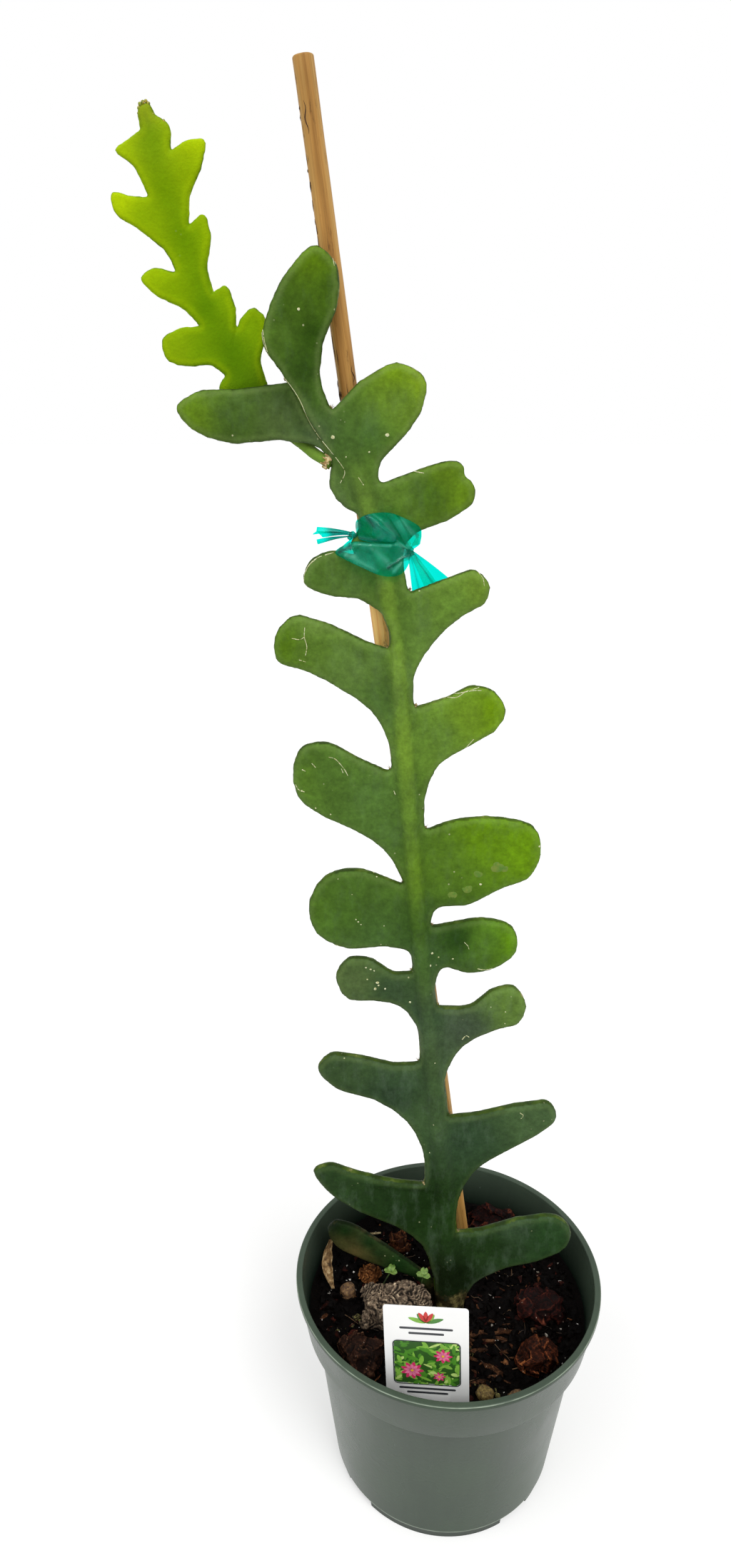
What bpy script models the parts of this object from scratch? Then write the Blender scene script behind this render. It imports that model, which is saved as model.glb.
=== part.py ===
"""A fishbone cactus tied to a bamboo stake, growing in a round nursery pot.

Millimetres are used for every size below and turned to metres by MM when a mesh is made.
The pot stands on Z = 0 with its axis on Z.  The plant is drawn in its own frame: x to the
right, s up from the soil line, t back from the flat of the stem, which leans back a little.
"""
import math

import bmesh
import bpy
from mathutils import Matrix, Vector, noise

MM = 0.001
GAP = 0.35                  # clearance kept between pieces that touch
MERGE = 1e-3                # points this close are one
SHARP = 40                  # edges that turn more than this many degrees stay sharp

# pot
POT_HEIGHT = 118.0
RIM_RADIUS = 76.5
LIP_WIDTH = 3.2
BAND_FOOT_RADIUS = 71.9     # lower edge of the rim band
BAND_HEIGHT = 25.0
WALL_TOP_RADIUS = 67.2      # wall just under the band
WALL_FOOT_RADIUS = 57.4
WALL = 1.3
FOOT_HEIGHT = 5.0
FOOT_RADIUS = 55.9
FOOT_WIDTH = 4.0
FLOOR_TOP = 7.0
HUB_RADIUS = 12.0
HUB_CLEARANCE = 0.5         # hub's underside above the table
NOTCH_ANGLES = (-52.7, 37.3, 127.3, 217.3)
NOTCH_SPAN = 18.5           # degrees of the foot ring that each notch takes
NOTCH_RADII = (46.0, 64.0)
NOTCH_TOP = 5.15            # the notches also slit the corner above the foot ring
DRAIN_RADIUS = 5.0
DRAIN_DISTANCE = 44.0
DRAIN_CUT = 12.0            # length of the cutter that makes a drain hole
POT_SIDES = 64

# growing mix and the plant's frame
SOIL_LINE = 93.0
SOIL_RELIEF = 1.1
SOIL_RINGS = (60, 50, 40, 30, 20, 10)
LEAN_BACK = 0.04            # how far the stem leans back per unit of height

# A blade's rounded edge, step by step: how far in, as a share of its width, and how far up,
# as a share of the blade's half thickness.
EDGE_STEPS = ((0.0, 0.4), (0.35, 0.4), (0.65, 0.2))

# stem: thickness of its blade and the core that runs up it
BLADE = 4.6
EDGE_ROUND = 1.6
LOBE_CURL = 3.0             # how far the lobes' tips curl, in turn forwards and back
TOP_LEAN = 6.0              # how far the top lobe leans forwards
# core: (x, s, half width, half thickness)
CORE = [
    (2, -24, 7.0, 5.6), (2.4, 4, 7.0, 5.6), (-0.4, 42, 4.9, 5.1), (-3, 80, 5.6, 5.0),
    (-8.5, 130, 5.4, 4.8), (-14, 180, 4.8, 4.6), (-19, 230, 4.3, 4.4), (-24, 285, 4.8, 4.2),
    (-28, 335, 3.6, 4.0), (-35, 380, 4.4, 3.8), (-44.2, 412, 3.8, 3.3), (-59, 436, 2.2, 2.5),
    (-68, 458, 1.7, 1.4),
]
# Edge of the stem, lobe by lobe: each run goes from one axil round a lobe to the next axil.
STEM_EDGE = [
    [(8, -20), (9, 2), (14, 15), (28, 24), (50, 30), (60, 36), (62, 46), (56, 54), (36, 55),
     (14, 48.5), (4, 47.5)],
    [(4, 47.5), (3.5, 56), (5.5, 72), (12, 85), (27, 97), (42, 106.5), (50, 116), (46.5, 124.5),
     (33, 124), (12, 118.5), (-1.7, 116.7)],
    [(-1.7, 116.7), (-4.8, 127), (-3.5, 141), (3, 155), (19, 165.5), (29, 169), (32, 178),
     (25.5, 188.5), (16.5, 186.5), (6, 177.5), (-8.6, 177)],
    [(-8.6, 177), (-9.8, 188), (-6.5, 197.5), (4, 194.8), (17, 197.5), (26.5, 207), (24, 218),
     (12, 222), (-3, 220), (-12.8, 217.8)],
    [(-12.8, 217.8), (-10.5, 226.5), (3, 228.5), (18, 236.5), (30, 241.5), (35, 252),
     (31.5, 265), (20, 269), (-6, 268), (-16.2, 264)],
    [(-16.2, 264), (-16, 280), (-11, 293), (2, 302), (13, 308.5), (17, 316), (12, 325),
     (3, 328), (-8, 323), (-21.7, 318.6)],
    [(-21.7, 318.6), (-21.8, 331), (-15, 344.5), (-2, 357), (6.5, 362), (8, 368.5), (2, 375),
     (-10, 371.5), (-24.4, 366)],
    [(-24.4, 366), (-26.4, 375), (-25, 386), (-19.8, 390.3), (-11.5, 393), (-4.9, 396.5),
     (-0.4, 400), (1.2, 404), (-0.4, 408.5), (-4.2, 411.2)],
    [(-4.2, 411.2), (-3.5, 413.6), (-5.6, 415.9), (-9.9, 416.2), (-22, 412.7), (-36.5, 407.5)],
    [(-36.5, 407.5), (-36, 415), (-28, 423.5), (-20, 435), (-19, 445), (-29, 451), (-41, 446.5),
     (-54.4, 434)],
    [(-54.4, 434), (-58.3, 445), (-57, 458), (-51.5, 471), (-52, 484), (-59, 489.8),
     (-68, 483), (-77, 468), (-79.5, 458), (-73, 448), (-60, 426), (-50, 411)],
    [(-50, 411), (-45, 401), (-43.8, 391), (-44, 380.5)],
    [(-44, 380.5), (-55, 382.5), (-64, 378), (-66, 370), (-57, 365), (-43, 363.2), (-34, 355.5),
     (-31.7, 342)],
    [(-31.7, 342), (-44, 347.5), (-60, 355), (-70, 357), (-78, 349), (-77.5, 338), (-66, 334),
     (-50, 325.5), (-38, 316), (-32, 304), (-30.3, 290.3)],
    [(-30.3, 290.3), (-42, 295.5), (-60, 303.5), (-68, 301.5), (-72.5, 289), (-70, 278),
     (-62, 271.5), (-46, 264), (-33, 254.5), (-24, 238)],
    [(-24, 238), (-33, 242), (-46, 246), (-59, 242.5), (-66.5, 230), (-63.5, 215.5),
     (-50, 207.5), (-31, 208), (-22, 205.5), (-19.7, 195)],
    [(-19.7, 195), (-28, 194.5), (-38, 201.5), (-49, 202.5), (-55, 194), (-50, 182),
     (-37, 180.5), (-26, 177.5), (-18.5, 168), (-16, 157), (-16.3, 146.7)],
    [(-16.3, 146.7), (-26, 146), (-45, 151), (-58, 152.5), (-64, 145.5), (-57, 134.5),
     (-38, 127), (-23, 115.6), (-14, 98), (-12.2, 77.2)],
    [(-12.2, 77.2), (-26, 78.6), (-45, 82.8), (-60, 87.2), (-66.8, 83.5), (-62, 72.6), (-47, 60.5),
     (-27, 51.5), (-14, 41), (-8, 25), (-5.5, 4), (-4, -20)],
    [(-4, -20), (8, -20)],
]
# The rib at the stem's back left, with a short lobe and a long one that reaches behind the top.
REAR_RIB_EDGE = [
    [(-38, 404), (-43, 396.5), (-50, 399), (-55.4, 406), (-54.7, 415)],
    [(-54.7, 415), (-58, 419.6), (-70, 423), (-95, 422), (-109, 427), (-114.8, 435),
     (-107, 440.5), (-90, 441.8), (-72, 444), (-60, 444)],
    [(-60, 444), (-46, 420), (-38, 404)],
]
REAR_RIB_BLADE = 3.8
REAR_RIB_ROUND = 1.3
REAR_RIB_SWEEP = 11.0       # how far back its tip reaches
# The young shoot: a neck from the areole behind the long lobe, then a toothed blade.
SHOOT_EDGE = [
    [(-56.9, 416.9), (-58.8, 418.4), (-62.4, 420.4), (-66.5, 423.8), (-77, 435.5), (-80.3, 445.5),
     (-81.8, 451), (-79.5, 460), (-79.8, 467.5), (-83.5, 470.3), (-88, 467.5), (-91.2, 459.7)],
    [(-91.2, 459.7), (-91, 472), (-94.3, 477.9), (-99, 474.8)],
    [(-99, 474.8), (-100.9, 483), (-98.7, 495), (-101, 501.6), (-107, 497.1)],
    [(-107, 497.1), (-106, 507.4), (-100.8, 517), (-99.5, 525.3), (-105, 525.2), (-112, 521.2)],
    [(-112, 521.2), (-112, 530), (-116.5, 532.6), (-118.5, 536.5), (-121.9, 535.5),
     (-121.5, 528)],
    [(-121.5, 528), (-126, 525.2), (-131.6, 522), (-125, 516.7), (-120.4, 506.8)],
    [(-120.4, 506.8), (-127, 507.3), (-134, 508.3), (-134, 503), (-125, 496.5), (-115, 488.5),
     (-112, 482)],
    [(-112, 482), (-122, 483.5), (-125.5, 480.5), (-121, 475), (-109, 469), (-103.9, 463.7)],
    [(-103.9, 463.7), (-113, 463), (-119, 459), (-117.5, 452), (-109, 449.7), (-100, 450),
     (-95, 446.5)],
    [(-95, 446.5), (-98.2, 441.8), (-94, 436.5), (-84, 431), (-75, 426), (-69.2, 421.6),
     (-65.7, 418.9), (-61.4, 416.1), (-55.6, 413.2)],
    [(-55.6, 413.2), (-56.9, 416.9)],
]
SHOOT_BLADE = 2.4
SHOOT_ROUND = 0.8
SHOOT_SWEEP = 13.5          # how far behind the stem's plane the shoot stands
# The short shoot at the stem's foot, which leans to the left.
BASAL_EDGE = [
    [(-3.5, -12), (-3.2, 4), (-8, 12.7), (-20, 22), (-37, 34.5), (-50, 42), (-57, 42.5), (-61, 37),
     (-57, 27), (-46, 21), (-28, 15), (-16, 11.5), (-10, 4), (-9, -12)],
    [(-9, -12), (-3.5, -12)],
]
BASAL_BLADE = 4.4
BASAL_DEPTH = 6.2           # how far behind the stem's plane it starts
BASAL_SWEEP = 0.15          # how much farther back per unit of its reach

# holes in the mix: middle, half width, half depth and how deep they go
STEM_SOCKET = ((2.2, -0.5), 8.2, 7.0, 24.0)
BASAL_SOCKET = ((-6.6, 6.4), 4.6, 3.4, 12.0)
SOCKET_TOP = 30.0           # how far above the mix their cutters reach

# bamboo stake, drawn through its point at the soil line
STAKE_FOOT = (13.6, 19.0)           # x and depth where it enters the soil
STAKE_LEAN = (-0.1398, 0.0125)       # x and depth per unit of height
STAKE_BURIED = 70.0
STAKE_TOP = 549.0
STAKE_RADII = (2.6, 3.85)            # at the foot and the top
STAKE_END = 0.7                      # the cut end is worn round by this much

# tie: one turn of plastic tape round stem and stake, (x, t, lower s, upper s)
TIE_TURN = [
    (-47.6, 2, 384, 395), (-46.4, -2, 383.5, 395.5), (-42.5, -4.9, 377, 397),
    (-36, -5.9, 374, 397.5), (-29.5, -5.2, 372.5, 395), (-24.6, -3.2, 371.5, 387),
    (-23, 0.4, 371, 386), (-24.6, 4.4, 371, 388), (-30.5, 9.4, 372, 392),
    (-37, 12.4, 374, 394), (-42.5, 12.9, 377, 395.5), (-46.6, 9.6, 381, 396),
    (-48, 5.6, 383, 395.5),
]
TAPE = 0.8
# loose ends: each is the four corners (x, t, s) of a thin leaf of tape
TIE_ENDS = [
    [(-46.8, -0.6, 391.2), (-47.2, -0.4, 389.2), (-61.5, -2.6, 389), (-62.5, -3.4, 393.4)],
    [(-47.2, 0.2, 388.6), (-47.4, 0.4, 386.6), (-60.5, 0.4, 383.8), (-62, -0.4, 387.2)],
    [(-23.2, 2.2, 384.5), (-24.2, 3.2, 379), (-24, 4.6, 366.5), (-10.5, 4.6, 370.5)],
]

# label
LABEL_TOP = (-14.9, -57.0, 38.0)    # middle of its top edge, from the rim's centre
LABEL_WIDTH = 38.2
LABEL_LENGTH = 118.0
LABEL_SHOULDER = 64.0               # full width down to here, below the top
LABEL_TAIL_WIDTH = 13.0
LABEL_TAPER = 14.0                  # height of the slope from full width to the tail
LABEL_POINT = 12.0                  # height of the point at the foot
LABEL_CORNER = 1.6
LABEL_THICKNESS = 0.7
LABEL_YAW = 6.0
LABEL_ROLL = 2.3

# what lies on the mix: name, centre x and y, size, turn in degrees, how deep it is bedded,
# pattern of its lumps, subdivisions, colour
CHUNKS = [
    ("bark_grey", (-25.5, -7.0), (43, 22, 22), -8, 6.0, 3, 3, (0.30, 0.26, 0.22)),
    ("bark_back_right", (29.5, 48), (34, 14, 26), -24, 6.0, 11, 3, (0.24, 0.09, 0.05)),
    ("bark_right", (48, -3), (33, 22, 15), -22, 5.0, 17, 3, (0.25, 0.09, 0.05)),
    ("bark_front_right", (42, -33.5), (27, 18, 14), 6, 4.5, 23, 3, (0.30, 0.12, 0.06)),
    ("bark_front_left", (-43, -31.5), (27, 20, 14), -40, 4.5, 31, 3, (0.20, 0.10, 0.07)),
    ("bark_back_left", (-23, 38), (11, 14, 12), 14, 3.5, 41, 2, (0.33, 0.17, 0.09)),
    ("bark_nugget", (-39, 18), (15, 11, 10), 10, 2.8, 47, 2, (0.33, 0.19, 0.10)),
    ("pebble_at_stem", (2.6, -10.8), (15, 8, 7), 8, 2.0, 53, 2, (0.45, 0.38, 0.18)),
    ("pebble_left", (-50.5, 7), (10, 9, 8), 30, 2.2, 59, 2, (0.40, 0.30, 0.17)),
    ("pebble_front_left", (14.5, -51), (10, 8, 7), -20, 2.2, 61, 2, (0.33, 0.25, 0.14)),
    ("pebble_front_right", (29, -53), (9, 7.5, 6.5), 25, 2.0, 67, 2, (0.42, 0.33, 0.20)),
]
# Broken bark has flat faces: each is cut this far out, as a share of the lump's reach.
BARK_FACES = {"bark_back_right": 9, "bark_right": 8, "bark_front_right": 9, "bark_front_left": 9,
              "bark_back_left": 7}
BARK_FACE_AT = 0.76
SPROUTS = [
    # name, foot x and depth, top x and depth, height, leaflet reach
    ("weed_sprout_left", (-35.0, 5.6), (-30.0, 3.2), 20.5, 3.2),
    ("weed_sprout_right", (-14.0, 1.4), (-11.5, -1.6), 22.0, 3.4),
]
SPROUT_RADIUS = 0.5
SPROUT_ROOT = 2.0
STRAW = ((-46, 44), (-33, 47), 0.8)     # from, to and radius
LEAF_AXIS = ((-57.5, 8.0, 1.2), (-63.0, 27.0, 16.0))   # foot and tip, heights above the soil line
LEAF_WIDTH = 8.0
LEAF_THICKNESS = 0.6
LEAF_CURL = 2.6             # how far its long edges stand above its middle
LEAF_BOW = 2.4              # how far its middle stands off the line from foot to tip


def clear_scene():
    for obj in list(bpy.data.objects):
        bpy.data.objects.remove(obj, do_unlink=True)


def material(name, colour, roughness):
    mat = bpy.data.materials.get(name) or bpy.data.materials.new(name)
    mat.use_nodes = True
    shader = mat.node_tree.nodes["Principled BSDF"]
    shader.inputs["Base Color"].default_value = (*colour, 1)
    shader.inputs["Roughness"].default_value = roughness
    shader.inputs["Metallic"].default_value = 0.0
    return mat


def add_object(name, bm, mat):
    """Make a scene object of a bmesh that is drawn in millimetres."""
    bmesh.ops.scale(bm, vec=(MM, MM, MM), verts=bm.verts)
    mesh = bpy.data.meshes.new(name)
    bm.to_mesh(mesh)
    bm.free()
    mesh.shade_smooth()
    mesh.set_sharp_from_angle(angle=math.radians(SHARP))
    obj = bpy.data.objects.new(name, mesh)
    obj.data.materials.append(mat)
    bpy.context.scene.collection.objects.link(obj)
    return obj


def boolean(target, other, operation):
    """Join another object to the target, or cut it away, with a live modifier."""
    other.hide_render = True
    other.display_type = "WIRE"
    mod = target.modifiers.new(other.name, "BOOLEAN")
    mod.operation = operation
    mod.solver = "EXACT"
    mod.object = other


def ease(u):
    u = min(1.0, max(0.0, u))
    return u * u * (3 - 2 * u)


def smooth_run(points, pieces=10):
    """A smooth curve through the points: Hermite spans with chord-length tangents."""
    pts = [Vector(p) for p in points]
    if len(pts) == 2:
        return pts
    chords = [(b - a).length for a, b in zip(pts, pts[1:])]
    tangents = [(pts[1] - pts[0]) / chords[0]]
    for i in range(1, len(pts) - 1):
        before = (pts[i] - pts[i - 1]) / chords[i - 1]
        after = (pts[i + 1] - pts[i]) / chords[i]
        tangents.append((before * chords[i] + after * chords[i - 1]) / (chords[i] + chords[i - 1]))
    tangents.append((pts[-1] - pts[-2]) / chords[-1])
    curve = []
    for i, chord in enumerate(chords):
        for k in range(pieces):
            u = k / pieces
            curve.append(pts[i] * (2 * u**3 - 3 * u**2 + 1) + pts[i + 1] * (3 * u**2 - 2 * u**3)
                         + tangents[i] * chord * (u**3 - 2 * u**2 + u)
                         + tangents[i + 1] * chord * (u**3 - u**2))
    return curve + [pts[-1]]


def thinned(points, tolerance):
    """Drop the points that lie within the tolerance of the line between their neighbours."""
    first, last = points[0], points[-1]
    if len(points) < 3:
        return [first, last]
    along = last - first
    spans = [abs(along.cross(p - first)) / max(along.length, 1e-6) for p in points[1:-1]]
    worst = max(range(len(spans)), key=spans.__getitem__) + 1
    if spans[worst - 1] < tolerance:
        return [first, last]
    return thinned(points[:worst + 1], tolerance)[:-1] + thinned(points[worst:], tolerance)


def outline(runs, tolerance):
    """A closed outline from runs that each end where the next one starts."""
    points = []
    for run in runs:
        points += thinned(smooth_run(run), tolerance)[:-1]
    return points


def blade(runs, thickness, edge, tolerance=0.4, strip=20.0):
    """A flat blade with a rounded edge, drawn as (x, t, s), with cross cuts so that it can bend."""
    bm = bmesh.new()
    face = bm.faces.new([bm.verts.new((p.x, 0, p.y)) for p in outline(runs, tolerance)])
    face.normal_update()
    if face.normal.y > 0:
        face.normal_flip()
    for share, rise in EDGE_STEPS:
        height = rise * thickness / 2
        if share:
            bmesh.ops.inset_region(bm, faces=[face], thickness=share * edge, depth=height,
                                   use_boundary=True, use_even_offset=True)
        else:
            grown = bmesh.ops.extrude_face_region(bm, geom=[face])
            top = [g for g in grown["geom"] if isinstance(g, bmesh.types.BMVert)]
            bmesh.ops.translate(bm, vec=(0, -height, 0), verts=top)
            bmesh.ops.delete(bm, geom=[face], context="FACES_ONLY")
            face = next(g for g in grown["geom"] if isinstance(g, bmesh.types.BMFace))
    low = min(v.co.z for v in bm.verts)
    high = max(v.co.z for v in bm.verts)
    cuts = int((high - low) / strip)
    for k in range(1, cuts + 1):
        level = low + (high - low) * (k - 0.37) / cuts
        bmesh.ops.bisect_plane(bm, geom=bm.verts[:] + bm.edges[:] + bm.faces[:], dist=1e-4,
                               plane_co=(0, 0, level), plane_no=(0, 0, 1))
    bmesh.ops.triangulate(bm, faces=bm.faces[:])
    bmesh.ops.mirror(bm, geom=bm.verts[:] + bm.edges[:] + bm.faces[:], axis="Y", merge_dist=1e-4)
    bmesh.ops.remove_doubles(bm, verts=bm.verts, dist=MERGE)
    bmesh.ops.recalc_face_normals(bm, faces=bm.faces)
    return bm


def tube(rings, sides):
    """A closed tube through rings: (centre, across, side half width, depth half width)."""
    bm = bmesh.new()
    loops = []
    for centre, along, wide, deep in rings:
        ahead = Vector(along).normalized()
        side = Vector((ahead.z, 0, -ahead.x)).normalized()
        turn = Matrix((side, ahead.cross(side), ahead)).transposed().to_4x4()
        place = Matrix.Translation(centre) @ turn @ Matrix.Diagonal((wide, deep, 1, 1))
        made = bmesh.ops.create_circle(bm, segments=sides, radius=1, matrix=place)
        loops.append({e for v in made["verts"] for e in v.link_edges})
    for lower, upper in zip(loops, loops[1:]):
        bmesh.ops.bridge_loops(bm, edges=list(lower | upper))
    for end in (loops[0], loops[-1]):
        bmesh.ops.contextual_create(bm, geom=list(end))
    bmesh.ops.recalc_face_normals(bm, faces=bm.faces)
    return bm


def in_plant_frame(bm, depth):
    """Bend by depth(x, s), then stand the plant's frame on the soil line, leaning back."""
    for v in bm.verts:
        x, t, s = v.co
        v.co = (x, t + depth(x, s) + LEAN_BACK * s, SOIL_LINE + s)
    return bm


def core_x(s):
    """x of the core at a height."""
    for (x0, s0, *_), (x1, s1, *_) in zip(CORE, CORE[1:]):
        if s <= s1:
            return x0 + (x1 - x0) * max(0.0, (s - s0) / (s1 - s0))
    return CORE[-1][0]


def stem_depth(x, s):
    curl = LOBE_CURL * ((x - core_x(s)) / 60) ** 2 * math.sin(s / 38)
    top = TOP_LEAN * ease((s - 425) / 65) * ease((-46 - x) / 14)
    return curl - top


def rear_rib_depth(x, s):
    return REAR_RIB_SWEEP * math.sin(min(1.0, max(0.0, (-44 - x) / 80)) * math.pi / 2)


def shoot_depth(x, s):
    return SHOOT_SWEEP * ease((-51 - x) / 24) - 2.0 * ease((s - 480) / 70)


def basal_depth(x, s):
    return BASAL_DEPTH + BASAL_SWEEP * (-6 - x) - LEAN_BACK * s


def make_stem(mat):
    bm = blade(STEM_EDGE, BLADE, EDGE_ROUND)
    flesh = add_object("cactus_stem", in_plant_frame(bm, stem_depth), mat)
    points = [Vector((x, 0, s)) for x, s, _, _ in CORE]
    rings = []
    for i, (x, s, wide, deep) in enumerate(CORE):
        along = points[min(i + 1, len(points) - 1)] - points[max(i - 1, 0)]
        rings.append((points[i], along, wide, deep))
    core = add_object("stem_core", in_plant_frame(tube(rings, 12), stem_depth), mat)
    bm = blade(REAR_RIB_EDGE, REAR_RIB_BLADE, REAR_RIB_ROUND)
    rib = add_object("rear_rib", in_plant_frame(bm, rear_rib_depth), mat)
    boolean(flesh, core, "UNION")
    boolean(flesh, rib, "UNION")
    return flesh


def make_new_shoot(mat):
    bm = blade(SHOOT_EDGE, SHOOT_BLADE, SHOOT_ROUND, tolerance=0.3, strip=12.0)
    return add_object("new_shoot", in_plant_frame(bm, shoot_depth), mat)


def make_basal_shoot(mat):
    bm = blade(BASAL_EDGE, BASAL_BLADE, EDGE_ROUND)
    return add_object("basal_shoot", in_plant_frame(bm, basal_depth), mat)


def stake_point(s):
    return Vector((STAKE_FOOT[0] + STAKE_LEAN[0] * s, STAKE_FOOT[1] + STAKE_LEAN[1] * s,
                   SOIL_LINE + s))


def stake_solid(grow=0.0):
    along = Vector((STAKE_LEAN[0], STAKE_LEAN[1], 1))
    low, high = -STAKE_BURIED - grow, STAKE_TOP + grow
    rings = []
    for share in (0.0, 0.3, 0.6, 0.998, 1.0):
        s = low + (high - low) * share
        radius = STAKE_RADII[0] + (STAKE_RADII[1] - STAKE_RADII[0]) * share + grow
        if share == 1.0:
            radius -= STAKE_END
        rings.append((stake_point(s), along, radius, radius))
    return tube(rings, 14)


def make_tie(mat):
    """A closed band of tape, taller in front, with its loose ends joined on."""
    turn = [(Vector((x, t)), low, high) for x, t, low, high in TIE_TURN]
    count = len(turn)
    bm = bmesh.new()
    corners = []
    for i in range(count):
        here, low, high = turn[i]
        along = (turn[(i + 1) % count][0] - turn[i - 1][0]).normalized()
        out = Vector((-along.y, along.x)) * TAPE / 2
        corners.append([bm.verts.new((p.x, p.y, s)) for p, s in
                        ((here - out, low), (here + out, low), (here + out, high), (here - out, high))])
    for a, b in zip(corners, corners[1:] + corners[:1]):
        for k in range(4):
            bm.faces.new((a[k], a[(k + 1) % 4], b[(k + 1) % 4], b[k]))
    bmesh.ops.recalc_face_normals(bm, faces=bm.faces)
    tie = add_object("plant_tie", in_plant_frame(bm, lambda x, s: 0.0), mat)
    for number, leaf in enumerate(TIE_ENDS):
        bm = bmesh.new()
        face = bm.faces.new([bm.verts.new(p) for p in leaf])
        bmesh.ops.subdivide_edges(bm, edges=bm.edges[:], cuts=1, use_grid_fill=True)
        bmesh.ops.solidify(bm, geom=bm.faces[:], thickness=TAPE)
        bmesh.ops.recalc_face_normals(bm, faces=bm.faces)
        end = add_object(f"tape_end_{number}", in_plant_frame(bm, lambda x, s: 0.0), mat)
        boolean(tie, end, "UNION")
    return tie


def label_solid(grow=0.0):
    """The label: wide above its shoulder, with a narrow tail that ends in a point."""
    half, tail = LABEL_WIDTH / 2 + grow, LABEL_TAIL_WIDTH / 2 + grow
    low = -LABEL_LENGTH - grow
    bevel = 0.3 * LABEL_CORNER
    right = [(half - LABEL_CORNER, grow), (half - bevel, grow - bevel), (half, grow - LABEL_CORNER),
             (half, -LABEL_SHOULDER), (tail, -LABEL_SHOULDER - LABEL_TAPER),
             (tail, low + LABEL_POINT), (1.5, low)]
    left = [(-x, z) for x, z in reversed(right)]
    bm = bmesh.new()
    face = bm.faces.new([bm.verts.new((x, -LABEL_THICKNESS / 2 - grow, z)) for x, z in right + left])
    grown = bmesh.ops.extrude_face_region(bm, geom=[face])
    back = [g for g in grown["geom"] if isinstance(g, bmesh.types.BMVert)]
    bmesh.ops.translate(bm, vec=(0, LABEL_THICKNESS + 2 * grow, 0), verts=back)
    bmesh.ops.recalc_face_normals(bm, faces=bm.faces)
    turn = (Matrix.Rotation(math.radians(-LABEL_YAW), 4, "Z")
            @ Matrix.Rotation(math.radians(-LABEL_ROLL), 4, "Y"))
    place = Matrix.Translation(Vector(LABEL_TOP) + Vector((0, 0, POT_HEIGHT)))
    bmesh.ops.transform(bm, matrix=place @ turn, verts=bm.verts)
    return bm


def turned(profile, sides):
    """Turn a profile of (radius, height) round Z; it starts and ends on the axis."""
    bm = bmesh.new()
    verts = [bm.verts.new((r, 0, z)) for r, z in profile]
    edges = [bm.edges.new(pair) for pair in zip(verts, verts[1:])]
    bmesh.ops.spin(bm, geom=verts + edges, cent=(0, 0, 0), axis=(0, 0, 1), angle=2 * math.pi,
                   steps=sides, use_merge=True)
    bmesh.ops.remove_doubles(bm, verts=bm.verts, dist=MERGE)
    bmesh.ops.recalc_face_normals(bm, faces=bm.faces)
    return bm


def wall_inner_radius(z):
    """Inner radius of the tapered wall at a height."""
    top = POT_HEIGHT - BAND_HEIGHT
    share = (z - FOOT_HEIGHT) / (top - FOOT_HEIGHT)
    return WALL_FOOT_RADIUS + (WALL_TOP_RADIUS - WALL_FOOT_RADIUS) * share - WALL


def make_pot(mat):
    step = POT_HEIGHT - BAND_HEIGHT
    lip_foot = POT_HEIGHT - 2.4
    inner_lip = RIM_RADIUS - LIP_WIDTH
    profile = [
        (0, HUB_CLEARANCE), (HUB_RADIUS, HUB_CLEARANCE), (HUB_RADIUS + 1, FOOT_HEIGHT),
        (FOOT_RADIUS - FOOT_WIDTH, FOOT_HEIGHT), (FOOT_RADIUS - FOOT_WIDTH + 0.3, 0),
        (FOOT_RADIUS, 0), (FOOT_RADIUS + 0.7, FOOT_HEIGHT), (WALL_FOOT_RADIUS, FOOT_HEIGHT + 0.5),
        (WALL_TOP_RADIUS, step - 1.2), (BAND_FOOT_RADIUS - 0.4, step - 0.5),
        (BAND_FOOT_RADIUS, step + 0.4), (RIM_RADIUS - 1.1, lip_foot - 0.6), (RIM_RADIUS, lip_foot),
        (RIM_RADIUS, POT_HEIGHT - 0.8), (RIM_RADIUS - 0.7, POT_HEIGHT), (inner_lip + 0.3, POT_HEIGHT),
        (inner_lip, POT_HEIGHT - 0.4), (BAND_FOOT_RADIUS - WALL, step + 2.4),
        (WALL_TOP_RADIUS - WALL + 0.1, step + 0.8), (wall_inner_radius(12), 12),
        (WALL_FOOT_RADIUS - 3.2, FLOOR_TOP + 0.4), (DRAIN_DISTANCE - 9, FLOOR_TOP), (0, FLOOR_TOP),
    ]
    pot = add_object("pot", turned(profile, POT_SIDES), mat)
    for number, angle in enumerate(NOTCH_ANGLES):
        turn = Matrix.Rotation(math.radians(angle), 4, "Z")
        half = math.radians(NOTCH_SPAN / 2)
        inner, outer = NOTCH_RADII
        bm = bmesh.new()
        plan = [(r * math.cos(a), r * math.sin(a), -NOTCH_TOP) for r, a in
                ((inner, -half), (outer, -half), (outer, half), (inner, half))]
        face = bm.faces.new([bm.verts.new(p) for p in plan])
        grown = bmesh.ops.extrude_face_region(bm, geom=[face])
        top = [g for g in grown["geom"] if isinstance(g, bmesh.types.BMVert)]
        bmesh.ops.translate(bm, vec=(0, 0, 2 * NOTCH_TOP), verts=top)
        bmesh.ops.recalc_face_normals(bm, faces=bm.faces)
        bmesh.ops.transform(bm, matrix=turn, verts=bm.verts)
        boolean(pot, add_object(f"notch_{number}", bm, mat), "DIFFERENCE")
        bm = bmesh.new()
        bmesh.ops.create_cone(bm, cap_ends=True, segments=16, radius1=DRAIN_RADIUS,
                              radius2=DRAIN_RADIUS, depth=DRAIN_CUT,
                              matrix=turn @ Matrix.Translation((DRAIN_DISTANCE, 0, FOOT_HEIGHT)))
        boolean(pot, add_object(f"drain_{number}", bm, mat), "DIFFERENCE")
    return pot


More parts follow.
